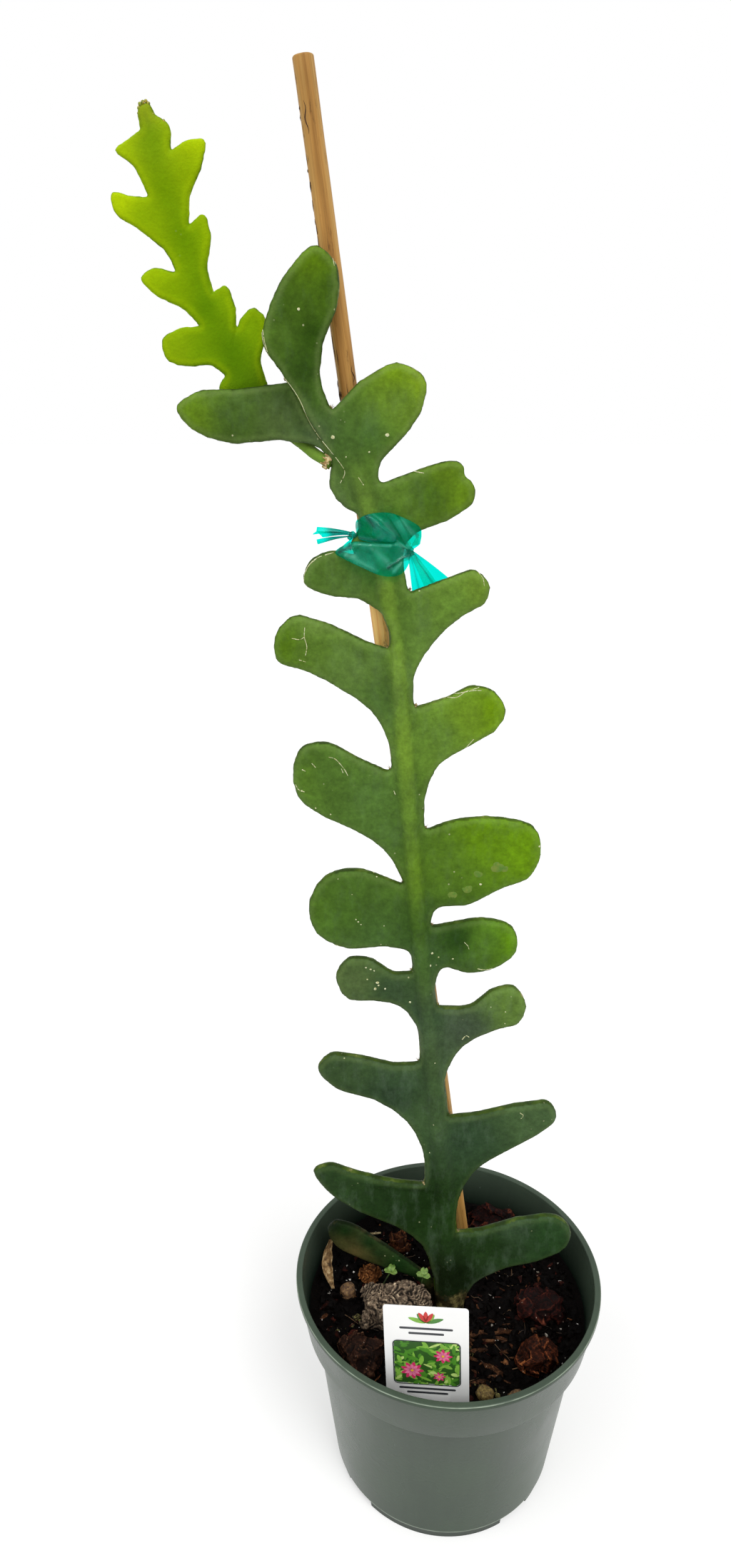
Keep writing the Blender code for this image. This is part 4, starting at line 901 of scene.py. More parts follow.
def alongLines(lines, x, s, sharp):
    # how much the lines add at a place: rounded over their ends
    total = 0.0
    for (x0, s0), (x1, s1), third, fourth in lines:
        amount, width = (third, fourth) if sharp else (fourth, third)
        dx, ds = x1 - x0, s1 - s0
        u = ((x - x0) * dx + (s - s0) * ds) / (dx * dx + ds * ds)
        near = min(1.0, max(0.0, u))
        away = math.hypot(x - x0 - near * dx, s - s0 - near * ds) / width
        total += amount * (max(0.0, 1 - away) if sharp else math.exp(-away * away))
    return total


def makeTurn(turn):
    columns, rows = 12, 34
    ring = [Vector(p) for p in turn]
    line = []
    for k in range(len(ring)):     # a closed smooth line through the turn's points
        line += smoothStep(*(ring[(k + j) % len(ring)] for j in (-1, 0, 1, 2)), columns)
    bm = bmesh.new()
    for v in bmesh.ops.create_grid(bm, x_segments=len(line), y_segments=rows, size=0.5)["verts"]:
        along, up = (v.co.x + 0.5) * len(line), v.co.y + 0.5
        here, after = line[int(along) % len(line)], line[(int(along) + 1) % len(line)]
        p = here.lerp(after, along - int(along))
        out = Vector(((after - here).y, -(after - here).x)).normalized()
        if out.dot(Vector((p.x + 36, p.y - 3))) < 0:
            out.negate()
        s = p.z + (p.w - p.z) * up
        front = ease((4 - p.y) / 4)
        lift = alongLines(tie["folds"], p.x, s, True) * front * math.sin(math.pi * up) ** 0.3 \
            + 0.35 * math.sin(math.pi * up) + 0.3 * noise.noise(Vector((p.x, s, p.y)) * 0.35)
        v.co = Vector(((p.x + out.x * lift) * mm, (p.y + out.y * lift + leanBack * s) * mm,
                       soilLine + s * mm))
    bmesh.ops.remove_doubles(bm, verts=bm.verts, dist=2e-5)
    return bm


def makeSheetOf(outline, depth):
    # a small flat sheet of film with its outline at (x, height), laid in front of the turns
    bm = bmesh.new()
    line = curveThrough([(x, 0, s) for x, s in outline + outline[:1]], 5)[:-1]
    face = bm.faces.new([bm.verts.new(p) for p in line])
    for _ in range(5):
        bmesh.ops.inset_region(bm, faces=[face], thickness=0.42, use_even_offset=False)
    bmesh.ops.triangulate(bm, faces=[f for f in bm.faces if len(f.verts) > 4])
    for v in bm.verts:
        x, _, s = v.co
        lift = 0.7 * alongLines(tie["folds"], x, s, True) + 0.2 * noise.noise(v.co * 0.5)
        wrapped = depth + 0.012 * (x + 35) ** 2     # it follows the turns round the stem
        v.co = Vector((x * mm, (wrapped - lift + leanBack * s) * mm, soilLine + s * mm))
    return bm


def makeEnd(knot, left, right, pleats, depth):
    knot, left, right = (Vector(p) for p in (knot, left, right))
    normal = (left - knot).cross(right - knot).normalized()
    bm = bmesh.new()
    for v in bmesh.ops.create_grid(bm, x_segments=20, y_segments=18, size=0.5)["verts"]:
        u, w = v.co.x + 0.5, v.co.y + 0.5
        far = left.lerp(right, w)
        near = knot + (far - (left + right) / 2) * 0.14
        fold = depth * (0.4 + 0.9 * u) * math.sin(math.tau * pleats * w + 0.9)
        p = near.lerp(far, u) + normal * fold
        p.z += 0.35 * math.sin(math.pi * u) + 0.25 * u * noise.noise(Vector((w * 5, u * 2, left.x)))
        v.co = Vector((p.x * mm, (p.y + leanBack * p.z) * mm, soilLine + p.z * mm))
    return bm


def marksOn(piece, lines):
    # how strongly the lines mark each point of the film's front
    return [0.0 if v.co.y > 0.02 else min(1.0, alongLines(
        lines, v.co.x / mm, (v.co.z - soilLine) / mm, False)) for v in piece.data.vertices]


def pleatsAlong(piece, end):
    # a loose end is pleated along its length: down its middle, along its edges and round its knot, darker
    # there for doubled film and painted shade
    knot, left, right = (Vector(p) for p in end[:3])
    middle = (left + right) / 2 - knot
    nearKnot = 0.85 if left.x < -40 else 0.38
    levels = []
    for v in piece.data.vertices:
        s = (v.co.z - soilLine) / mm
        p = Vector((v.co.x / mm, v.co.y / mm - leanBack * s, s)) - knot
        reach = max(0.3, p.dot(middle.normalized()) / middle.length)
        across = p.dot((left - right).normalized()) / ((left - right).length * reach)
        levels.append(min(1.0, 0.4 * math.exp(-((across - 0.1) / 0.05) ** 2)
                          + 0.5 * math.exp(-((abs(across) - 0.5) / 0.03) ** 2)
                          + 0.75 * ease((nearKnot - reach) / 0.3)))
    return levels


def makeTape(film):
    wound = [makeTurn(tie["upperTurn"]), makeTurn(tie["lowerTurn"]),
             makeSheetOf(tie["flap"], tie["flapDepth"]), makeSheetOf(tie["strip"], tie["stripDepth"])]
    for number, bm in enumerate(wound + [makeEnd(*end) for end in tie["ends"]]):
        bmesh.ops.recalc_face_normals(bm, faces=bm.faces)
        piece = newPiece(f"tieTape{number}", bm, film, sharp=0)
        giveBody(piece, tie["film"])
        paint(piece, "milkySheen", marksOn(piece, tie["milkySheen"]))
        loose = number - len(wound)
        paint(piece, "pleatedAndShaded", marksOn(piece, tie["pleats"]) if loose < 0
              else pleatsAlong(piece, tie["ends"][loose]))
        dress(piece, "tie_tape", *(["plant_tie"] if number == 0 else []))


def makeKnots(film):
    # tape drawn tight into small crumpled beads
    bm = bmesh.new()
    for x, depth, s, radius in tie["knots"]:
        middle = Vector((x, depth + leanBack * s, soilLine / mm + s)) * mm
        made = bmesh.ops.create_icosphere(bm, subdivisions=4, radius=radius * mm,
                                          matrix=Matrix.Translation(middle))
        for v in made["verts"]:
            out = (v.co - middle).normalized()
            pleat = math.sin(8 * math.atan2(out.y, out.z) + 4 * out.x)
            v.co += out * (0.16 * pleat + 0.3 * noise.noise(out * 2.2)) * mm
    knots = newPiece("tieKnots", bm, film, sharp=0)
    paint(knots, "pleatedAndShaded", [tie["knotPleats"]] * len(knots.data.vertices))
    dress(knots, "tie_tape")


tieFilm = tapeMaterial()
makeTape(tieFilm)
makeKnots(tieFilm)
print("tie")


# Label

label = {"top": (-14.9, -57.0, 38.0), "width": 38.2, "length": 118.0, "shoulder": 64.0, "tail": 13.0,
         "thickness": 0.7, "corner": 1.6, "yaw": 6.0, "roll": 2.3,
         # the printed picture, with its leaves, and its blossoms: x, how far down, size and petals
         "panel": (30.5, 27.0), "panelTop": 20.5, "leaves": 120,
         "blossoms": [(-6.8, 18.4, 5.4, 9), (7.4, 8.6, 4.4, 8), (5.6, 21.5, 3.0, 7)],
         # plain bars: width, and how far down
         "bar": 1.3, "bars": [(24, 12.2), (16, 15.2), (26, 49.5), (19, 52.1)]}


def labelPlace():
    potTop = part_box("pot")[1][2]
    turn = (Matrix.Rotation(math.radians(-label["yaw"]), 4, "Z")
            @ Matrix.Rotation(math.radians(-label["roll"]), 4, "Y"))
    return Matrix.Translation(Vector(label["top"]) * mm + Vector((0, 0, potTop))) @ turn


def roundedPlate(bm, width, height, top, corner, level, slot):
    # a flat rounded rectangle on the label's face, its top edge this far down
    pts = []
    for cx, cz, first in ((width / 2 - corner, -top - corner, 0),
                          (-width / 2 + corner, -top - corner, 1),
                          (-width / 2 + corner, -top - height + corner, 2),
                          (width / 2 - corner, -top - height + corner, 3)):
        for k in range(5):
            angle = math.pi / 2 * (first + k / 4)
            pts.append(((cx + corner * math.cos(angle)) * mm, level * mm,
                        (cz + corner * math.sin(angle)) * mm))
    face = bm.faces.new([bm.verts.new(p) for p in pts])
    face.material_index = slot
    return face


def petal(bm, x, z, angle, long, wide, level, slot):
    # a pointed oval, drawn from its foot
    turn = Matrix.Rotation(-angle, 4, "Y")
    made = bmesh.ops.create_circle(bm, segments=14, radius=1, cap_ends=True,
                                   matrix=Matrix.Rotation(math.pi / 2, 4, "X"))["verts"]
    for v in made:
        u = v.co.x
        v.co = Vector(((u + 1) / 2 * long * mm, 0, v.co.z * wide / 2 * (1 - 0.35 * u * u) * mm))
        v.co = turn @ v.co + Vector((x * mm, level * mm, z * mm))
    for f in {f for v in made for f in v.link_faces}:
        f.material_index = slot


def makeLabel():
    # Printed polystyrene label: smooth, white and faintly glossy.
    white = newMaterial("whitePolystyrene", "#F3F4F6", 0.32)
    where = addNode(white, "TexCoord")["Object"]
    haze = addNode(white, "TexNoise", {"Vector": where, "Scale": per(14), "Detail": 2.0})[0]
    feed(white, {"Base Color": addNode(white, "ValToRGB", {"Fac": haze},
                                       [(0.3, "#FBFBF9"), (0.7, "#FFFFFD")])[0],
                 "Roughness": addNode(white, "MapRange", {"Value": haze, "To Min": 0.26,
                                                          "To Max": 0.42})[0]})
    half, tail = label["width"] / 2, label["tail"] / 2
    shoulder, low, corner = -label["shoulder"], -label["length"], label["corner"]
    right = [(half - corner + corner * math.sin(a), -corner + corner * math.cos(a))
             for a in (0, 0.39, 0.79, 1.18, 1.57)]
    right += [(half, shoulder), (half - 1.2, shoulder - 2.4), (tail + 1, shoulder - 12),
              (tail, shoulder - 15), (tail, low + 12), (1.5, low)]
    bm = bmesh.new()
    front = -label["thickness"] / 2
    face = bm.faces.new([bm.verts.new((x * mm, front * mm, z * mm)) for x, z in
                         right + [(-x, z) for x, z in reversed(right[1:])]])
    drawOut(bm, face, (0, label["thickness"] * mm, 0))
    rims = [e for e in bm.edges if e.is_manifold and e.calc_face_angle() > 1.2]
    bmesh.ops.bevel(bm, geom=rims, offset=0.15 * mm, segments=2, affect="EDGES", profile=0.5, material=-1)
    bmesh.ops.transform(bm, matrix=labelPlace(), verts=bm.verts)
    dress(newPiece("labelSheet", bm, white), "label_plastic", "plant_label")


printColours = {"frame": "#23302A", "leaf": "#4F8E2A", "youngLeaf": "#84BC46", "paleLeaf": "#BFDD7C",
                "shade": "#2F5A1E", "petal": "#D8356A", "innerPetal": "#F07FA6", "eye": "#F2C230",
                "bar": "#3F4246", "redPetal": "#D23A34", "sprig": "#4E8A3A"}
inkSlot = {name: number for number, name in enumerate(printColours)}


def makeInks():
    # Offset inks on the label: matt, each one even but for a slight mottle.
    inks = []
    for number, shade in enumerate(printColours.values()):
        ink = newMaterial(f"labelInk{number}", shade, 0.4)
        where = addNode(ink, "TexCoord")["Object"]
        mottle = addNode(ink, "TexNoise", {"Vector": where, "Scale": per(2.5), "Detail": 3.0})[0]
        value = addNode(ink, "MapRange", {"Value": mottle, "From Min": 0.3, "From Max": 0.7,
                                          "To Min": 0.85, "To Max": 1.12})[0]
        feed(ink, {"Base Color": addNode(ink, "HueSaturation", {"Value": value,
                                                                "Color": toLinear(shade)})[0]})
        inks.append(ink)
    return inks


def printPicture(bm, front):
    # leaves of three greens behind three round blossoms, each layer a hair's breadth over the last
    draw = random.Random(21)
    wide, tall = label["panel"]
    top = label["panelTop"]
    greens = [inkSlot[name] for name in ("leaf", "leaf", "youngLeaf", "youngLeaf", "paleLeaf")]
    roundedPlate(bm, wide - 1, tall - 1, top + 0.5, 1.6, front - 0.04, inkSlot["shade"])
    for k in range(label["leaves"]):
        x = draw.uniform(-wide / 2, wide / 2)
        z = -top - draw.uniform(0, tall)
        petal(bm, x, z, draw.uniform(0, math.tau), draw.uniform(3, 7), draw.uniform(1.1, 2.4),
              front - 0.05 - 0.0006 * k, draw.choice(greens))
    for x, down, size, petals in label["blossoms"]:
        for ring, colour in ((1.0, inkSlot["petal"]), (0.72, inkSlot["innerPetal"])):
            level = front - 0.13 - 0.012 * (2 - ring)
            for k in range(petals):
                angle = math.tau * (k + (1 - ring)) / petals
                petal(bm, x, -top - down, angle, size * ring, size * 0.42 * ring, level, colour)
        petal(bm, x - 0.7, -top - down, 0, 1.4, 1.4, front - 0.16, inkSlot["eye"])
    middle = Vector((0, 0, -top - tall / 2))
    for k in range(8):      # cut to the frame, corners too
        out = Vector((round(math.cos(k * math.pi / 4)), 0, round(math.sin(k * math.pi / 4)))).normalized()
        far = abs(out.x) * (wide / 2 - 0.3) + abs(out.z) * (tall / 2 - 0.3) - (0.9 if k % 2 else 0)
        bmesh.ops.bisect_plane(bm, geom=bm.verts[:] + bm.edges[:] + bm.faces[:], clear_outer=True,
                               plane_co=(middle + out * far) * mm, plane_no=out)
    # its dark frame
    outer = roundedPlate(bm, wide + 0.3, tall + 0.3, top - 0.15, 2.4, front - 0.19, inkSlot["frame"])
    inner = roundedPlate(bm, wide - 0.8, tall - 0.8, top + 0.4, 1.9, front - 0.19, inkSlot["frame"])
    loops = [face.verts[:] for face in (outer, inner)]
    bmesh.ops.delete(bm, geom=[outer, inner], context="FACES_ONLY")
    for k in range(len(loops[0])):
        bm.faces.new([loops[0][k - 1], loops[0][k], loops[1][k], loops[1][k - 1]])


def makePrint():
    front = -label["thickness"] / 2
    inks = makeInks()
    bm = bmesh.new()
    printPicture(bm, front)
    # a sprig over two plain bars at the head, and two bars under the picture
    for angle, long, name in ((0.35, 8.4, "sprig"), (0.95, 6.6, "youngLeaf"), (2.2, 6.6, "sprig"),
                              (2.8, 8.4, "youngLeaf")):
        petal(bm, 0, -9.4, angle, long, 2.6, front - 0.05, inkSlot[name])
    for angle in (1.05, 1.57, 2.1):
        petal(bm, 0, -8.9, angle, 6.4, 2.2, front - 0.07, inkSlot["redPetal"])
    for width, down in label["bars"]:
        roundedPlate(bm, width, label["bar"], down, 0.5, front - 0.05, inkSlot["bar"])
    bmesh.ops.recalc_face_normals(bm, faces=bm.faces)
    for f in bm.faces:
        if f.normal.y > 0:
            f.normal_flip()
    bmesh.ops.transform(bm, matrix=labelPlace(), verts=bm.verts)
    dress(newPiece("labelPrint", bm, *inks, sharp=0), "label_plastic")


makeLabel()
makePrint()
print("label")


# Nursery pot

pot = {"rim": 76.5, "height": 118.0, "lip": 3.2, "bandFoot": 71.9, "band": 25.0, "wallTop": 67.2,
       "wallFoot": 57.4, "wall": 1.3, "footHeight": 5.0, "foot": 55.9, "footWidth": 4.0, "floor": 7.0,
       "hub": 12.0, "hubClearance": 0.5, "drain": 5.0, "drainAt": 44.0, "steps": 200,
       # the foot ring's notches: their angles, how wide each is, from how far in to how far out
       "notches": (-52.7, 37.3, 127.3, 217.3), "notchSpan": 18.5, "notchReach": (46, 64)}


def potMaterial():
    # Injection-moulded polypropylene: satin, faintly orange-peeled, scuffed and dusty in places.
    plastic = newMaterial("mouldedPolypropylene", "#444F43", 0.3, {"Specular IOR Level": 0.13})
    where = addNode(plastic, "TexCoord")["Object"]
    cloud = addNode(plastic, "TexNoise", {"Vector": where, "Scale": per(35), "Detail": 3.0})[0]
    colour = addNode(plastic, "ValToRGB", {"Fac": cloud}, [(0.3, "#414D41"), (0.7, "#485647")])[0]
    # painted shade over the inside of the pot, darker further down
    inside = addNode(plastic, "Attribute", attribute_name="paintedInsideShade")["Fac"]
    colour = addNode(plastic, "MixRGB", {"Fac": inside, "Color1": colour,
                                         "Color2": toLinear("#08140C")})[0]
    streakMap = addNode(plastic, "Mapping", {"Vector": where, "Scale": (1, 1, 0.05)})[0]
    streaks = addNode(plastic, "TexNoise", {"Vector": streakMap, "Scale": per(6), "Detail": 4.0})[0]
    streaks = addNode(plastic, "ValToRGB", {"Fac": streaks}, [(0.3, 0.93), (0.7, 1.05)])[0]
    colour = addNode(plastic, "MixRGB", {"Fac": 0.8, "Color1": colour, "Color2": streaks},
                     blend_type="MULTIPLY")[0]
    # pale scuffs and water marks, a millimetre or two wide
    scuffMap = addNode(plastic, "Mapping", {"Vector": where, "Scale": (1, 1, 0.35),
                                            "Rotation": (0.2, 0.4, 0.3)})[0]
    scuffs = addNode(plastic, "TexNoise", {"Vector": scuffMap, "Scale": per(3), "Detail": 6.0,
                                           "Roughness": 0.75})[0]
    scuffs = addNode(plastic, "ValToRGB", {"Fac": scuffs}, [(0.66, 0.0), (0.74, 0.5)])[0]
    colour = addNode(plastic, "MixRGB", {"Fac": scuffs, "Color1": colour,
                                         "Color2": toLinear("#76837A")})[0]
    # painted highlight where the lip and the foot's corner catch the light, and not evenly
    rim = addNode(plastic, "Attribute", attribute_name="paintedEdgeHighlight")["Fac"]
    uneven = addNode(plastic, "TexNoise", {"Vector": where, "Scale": per(9), "Detail": 3.0})[0]
    uneven = addNode(plastic, "ValToRGB", {"Fac": uneven}, [(0.35, 0.35), (0.6, 1.0)])[0]
    rim = addNode(plastic, "Math", {0: rim, 1: uneven}, operation="MULTIPLY")[0]
    colour = addNode(plastic, "MixRGB", {"Fac": rim, "Color1": colour,
                                         "Color2": toLinear("#C3D2BC")})[0]
    peel = addNode(plastic, "TexNoise", {"Vector": where, "Scale": per(1.6), "Detail": 2.0})[0]
    gloss = addNode(plastic, "MapRange", {"Value": cloud, "From Min": 0.3, "From Max": 0.7,
                                          "To Min": 0.22, "To Max": 0.32})[0]
    gloss = addNode(plastic, "MixRGB", {"Fac": inside, "Color1": gloss,
                                        "Color2": (0.6, 0.6, 0.6, 1)})[0]
    bump = addNode(plastic, "Bump", {"Height": peel, "Strength": 0.12, "Distance": 0.0004})[0]
    feed(plastic, {"Base Color": colour, "Roughness": gloss, "Normal": bump})
    return plastic


def makeCutters():
    # what is cut out of the moulded shell: a notch and a drain hole at each of four angles
    cutters = []
    near, far = pot["notchReach"]
    half = math.radians(pot["notchSpan"] / 2)
    for number, angle in enumerate(pot["notches"]):
        turn = Matrix.Rotation(math.radians(angle), 4, "Z")
        bm = bmesh.new()
        face = bm.faces.new([bm.verts.new((r * math.cos(a) * mm, r * math.sin(a) * mm, -5 * mm))
                             for r, a in ((near, -half), (far, -half), (far, half), (near, half))])
        drawOut(bm, face, (0, 0, (pot["footHeight"] + 5.15) * mm))
        bmesh.ops.transform(bm, matrix=turn, verts=bm.verts)
        cutters.append(newPiece(f"notchCutter{number}", bm))
        bm = bmesh.new()
        bmesh.ops.create_cone(bm, cap_ends=True, segments=40, radius1=pot["drain"] * mm,
                              radius2=pot["drain"] * mm, depth=12 * mm,
                              matrix=turn @ Matrix.Translation((pot["drainAt"] * mm, 0, 5 * mm)))
        cutters.append(newPiece(f"drainCutter{number}", bm))
    return cutters


def potProfile(slope):
    # the half section from the middle of the underside, round the rim, to the middle of the floor
    p = pot
    step = p["height"] - p["band"]
    lipFoot = p["height"] - 2.4
    innerLip = p["rim"] - p["lip"]
    return [
        (0, p["hubClearance"]), (p["hub"], p["hubClearance"]), (p["hub"] + 1, p["footHeight"]),
        (p["foot"] - p["footWidth"], p["footHeight"]), (p["foot"] - p["footWidth"] + 0.3, 0),
        (p["foot"], 0), (p["foot"] + 0.7, p["footHeight"]), (p["wallFoot"] - 0.5, p["footHeight"]),
        (p["wallFoot"], p["footHeight"] + 0.5), (p["wallFoot"] + 0.1, p["footHeight"] + 1.4),
        (p["wallTop"], step - 1.2), (p["bandFoot"] - 0.4, step - 0.5), (p["bandFoot"], step + 0.4),
        (p["rim"] - 1.1, lipFoot - 0.6), (p["rim"], lipFoot), (p["rim"], p["height"] - 1.2),
        (p["rim"], p["height"] - 0.5), (p["rim"] - 0.5, p["height"]), (p["rim"] - 1.1, p["height"]),
        (innerLip + 0.3, p["height"]), (innerLip, p["height"] - 0.4),
        (p["bandFoot"] - p["wall"], step + 2.4), (p["wallTop"] - p["wall"] + 0.1, step + 0.8),
        (p["wallFoot"] + slope * 7 - p["wall"], 12), (p["wallFoot"] - 3.2, p["floor"] + 0.4),
        (p["drainAt"] - 9, p["floor"]), (0, p["floor"]),
    ]


def paintHighlightAndShade(piece, slope):
    # painted highlights along the lip and the foot's corner, and painted shade over the inside
    p = pot
    step = p["height"] - p["band"]
    flare = (p["rim"] - p["lip"] - p["bandFoot"]) / p["band"]
    edgeHighlight, damp = [], []
    for v in piece.data.vertices:
        r, z = math.hypot(v.co.x, v.co.y) / mm, v.co.z / mm
        lip = 0.8 * ease(1.0 - math.hypot(r - p["rim"] + 0.1, z - p["height"] + 0.3) / 0.36)
        corner = ease(1.2 - math.hypot(r - p["wallFoot"], z - p["footHeight"] - 0.4) / 0.5)
        edgeHighlight.append(max(0.9 * lip, 0.75 * corner))
        wall = p["wallFoot"] + slope * (z - p["footHeight"]) if z < step \
            else p["bandFoot"] + flare * (z - step)
        # painted shade on the inside, darker further down
        damp.append(ease((wall - 0.5 - r) / 0.8) * (0.78 + 0.22 * ease((p["height"] - z) / 12)))
    paint(piece, "paintedEdgeHighlight", edgeHighlight)
    paint(piece, "paintedInsideShade", damp)


def makePot():
    slope = (pot["wallTop"] - pot["wallFoot"]) / (pot["height"] - pot["band"] - pot["footHeight"])
    bm = turnProfile(potProfile(slope), pot["steps"])
    bends = [e for e in bm.edges if e.is_manifold and e.calc_face_angle() > 0.3
             and abs(e.verts[0].co.z - e.verts[1].co.z) < 1e-6]
    bmesh.ops.bevel(bm, geom=bends, offset=0.3 * mm, segments=3, affect="EDGES", profile=0.5,
                    material=-1, clamp_overlap=True)
    piece = newPiece("nurseryPot", bm, potMaterial())
    cutters = makeCutters()
    for cutter in cutters:
        cut = piece.modifiers.new(cutter.name, "BOOLEAN")
        cut.operation = "DIFFERENCE"
        cut.solver = "EXACT"
        cut.object = cutter
    settle(piece)
    for cutter in cutters:
        bpy.data.objects.remove(cutter)
    paintHighlightAndShade(piece, slope)
    piece.data.set_sharp_from_angle(angle=math.radians(40))
    dress(piece, "pot_plastic", "pot")


makePot()
print("pot")


# Potting mix

mix = {"radius": 65.3, "reach": 70.0, "shelf": 2.2, "crumbs": 2100, "chips": 330, "slivers": 30,
       "perlite": 240, "fibres": 60,
       # where slivers lie in front of the stem, and the middles of five patches of moss
       "sliverPatch": ((8, 31), (-48, -8)),
       "mossAt": ((12, -26), (14, -49), (20, -52), (-44, -8), (-50, -14))}


def soilMaterial():
    # Wet peat and bark fines: almost black, with a few paler grains in it.
    soil = newMaterial("wetPeat", "#0A0605", 0.55, {"Specular IOR Level": 0.05})
    where = addNode(soil, "TexCoord")["Object"]
    grit = addNode(soil, "TexNoise", {"Vector": where, "Scale": per(1.8), "Detail": 8.0,
                                      "Roughness": 0.7})[0]
    damp = addNode(soil, "TexNoise", {"Vector": where, "Scale": per(14), "Detail": 2.0})[0]
    colour = addNode(soil, "ValToRGB", {"Fac": grit},
                     [(0.3, "#020101"), (0.58, "#070403"), (0.68, "#140C08"), (0.8, "#3E2A1E")])[0]
    gloss = addNode(soil, "ValToRGB", {"Fac": damp}, [(0.4, 0.28), (0.62, 0.75)])[0]
    bump = addNode(soil, "Bump", {"Height": grit, "Strength": 0.7, "Distance": 0.0012})[0]
    feed(soil, {"Base Color": colour, "Roughness": gloss, "Normal": bump})
    return soil


def mixHeight(x, y):
    # how far the surface of the mix stands over the soil line, in millimetres: clods with crevices
    # between them, banked up a little against the pot
    p = Vector((x, y, 0))
    away = math.hypot(x, y)
    broad = 1.2 * noise.noise(p / 16) + 0.9 * noise.noise(p / 6 + Vector((9, 0, 0)))
    near = noise.voronoi(p / 6.5 + 0.4 * noise.noise_vector(p / 5))[0]
    clods = 1.7 * min(1.0, 2.4 * (near[1] - near[0])) - 1.2
    fine = 0.6 * noise.noise(p / 2.4) + 0.35 * noise.noise(p / 1.1)
    rough = (broad + clods + fine) * min(1.0, max(0.0, (mix["reach"] - away) / 3))
    return rough - 0.3 + mix["shelf"] * ease((away - 58) / 11)


def makeSoil(soil):
    line = soilLine / mm
    side, rings = mix["reach"], 110
    profile = [(0, 7.4), (52, 7.8), (56.6, 12.4), (mix["radius"] - 0.5, line - 4),
               (mix["radius"], line + 0.9), (side, line + 2.6)]
    profile += [(side * (1 - k / rings), line + 3) for k in range(rings)] + [(0, line + 3)]
    bm = turnProfile(profile, 300)
    for v in bm.verts:
        if v.co.z > soilLine + 2.8 * mm:
            v.co.z = soilLine + mixHeight(v.co.x / mm, v.co.y / mm) * mm
            if math.hypot(v.co.x, v.co.y) > (side - 0.05) * mm:
                v.co.z = soilLine + 3.1 * mm
    dress(newPiece("pottingMix", bm, soil, sharp=0), "growing_mix", "growing_mix")


labelPlane = labelPlace()


def clearOfLabel(x, y, reach):
    local = labelPlane.inverted() @ Vector((x * mm, y * mm, soilLine))
    return abs(local.x) > (label["width"] / 2 + reach) * mm or abs(local.y) > (reach + 0.4) * mm


def scatter(draw, count, reach, edge=67.5):
    # places spread over the mix, clear of the label
    made = []
    while len(made) < count:
        radius, angle = edge * math.sqrt(draw.random()), draw.uniform(0, math.tau)
        x, y = radius * math.cos(angle), radius * math.sin(angle)
        if clearOfLabel(x, y, reach):
            made.append((x, y))
    return made


def addShard(bm, draw, x, y, size, wide, flat):
    # a broken piece lying on the mix: the hull of a few points of a flattened ball
    turn = Matrix.Rotation(draw.uniform(0, math.tau), 4, "Z") \
        @ Matrix.Rotation(draw.gauss(0, 0.3), 4, "X") @ Matrix.Rotation(draw.gauss(0, 0.3), 4, "Y")
    centre = Vector((x, y, soilLine / mm + mixHeight(x, y) + size * flat * 0.2))
    made = []
    for _ in range(draw.choice((8, 10, 12))):
        out = Vector([draw.gauss(0, 1) for _ in range(3)]).normalized() * draw.uniform(0.75, 1.1)
        local = Vector((out.x, out.y * wide, out.z * flat)) * size / 2
        made.append(bm.verts.new((centre + turn @ local) * mm))
    wrapHull(bm, made)


def makeCrumbs(soil):
    draw = random.Random(31)
    bm = bmesh.new()
    for x, y in scatter(draw, mix["crumbs"], 1.0):
        addShard(bm, draw, x, y, 1.1 + 5.6 * draw.random() ** 2.2, draw.uniform(0.4, 1.0),
                 draw.uniform(0.4, 0.9))
    dress(newPiece("peatCrumbs", bm, soil, sharp=25), "growing_mix")


def chipMaterial(name, shades, wet, carved=False):
    # Composted pine bark: layered, red-brown on its breaks and darker where it is wet.
    bark = newMaterial(name, shades[1], 0.6, {"Specular IOR Level": 0.08})
    where = addNode(bark, "TexCoord")["Object"]
    layerMap = addNode(bark, "Mapping", {"Vector": where, "Scale": (1, 1, 2.6),
                                         "Rotation": (0.5, 0.3, 0.2)})[0]
    layers = addNode(bark, "TexNoise", {"Vector": layerMap, "Scale": per(2.4), "Detail": 7.0,
                                        "Roughness": 0.7, "Distortion": 0.6})[0]
    patches = addNode(bark, "TexNoise", {"Vector": where, "Scale": per(7), "Detail": 3.0})[0]
    key = layers
    if carved:      # the mesh says how proud each place stands: proud edges are paler with painted highlight and hollows darker with painted shade
        raised = addNode(bark, "Attribute", attribute_name="raised")["Fac"]
        key = addNode(bark, "MixRGB", {"Fac": 0.45, "Color1": layers, "Color2": raised})[0]
    colour = addNode(bark, "ValToRGB", {"Fac": key},
                     [(0.3, shades[0]), (0.5, shades[1]), (0.64, shades[2]), (0.78, shades[3])])[0]
    dark = addNode(bark, "ValToRGB", {"Fac": patches}, [(0.38, 0.4), (0.6, 1.1)])[0]
    colour = addNode(bark, "MixRGB", {"Fac": 0.85, "Color1": colour, "Color2": dark},
                     blend_type="MULTIPLY")[0]
    # grains of perlite dust, and painted highlights for wet glints, about half a millimetre wide
    cells = addNode(bark, "TexVoronoi", {"Vector": where, "Scale": per(2.6)})["Distance"]
    dots = addNode(bark, "ValToRGB", {"Fac": cells}, [(0.07, 0.8), (0.12, 0.0)])[0]
    dustAndGlintGate = addNode(bark, "ValToRGB", {"Fac": patches}, [(0.42, 0.0), (0.5, 1.0)])[0]
    dots = addNode(bark, "Math", {0: dots, 1: dustAndGlintGate}, operation="MULTIPLY")[0]
    if carved:
        # the painted glints only on the proudest places
        top = addNode(bark, "ValToRGB", {"Fac": raised}, [(0.52, 0.0), (0.66, 1.0)])[0]
        dots = addNode(bark, "Math", {0: dots, 1: top}, operation="MULTIPLY")[0]
    colour = addNode(bark, "MixRGB", {"Fac": dots, "Color1": colour, "Color2": toLinear("#CDB9A6")})[0]
    gloss = addNode(bark, "ValToRGB", {"Fac": patches}, [(0.35, wet), (0.6, 0.8)])[0]
    bump = addNode(bark, "Bump", {"Height": layers, "Strength": 0.8, "Distance": 0.0011})[0]
    feed(bark, {"Base Color": colour, "Roughness": gloss, "Normal": bump})
    return bark


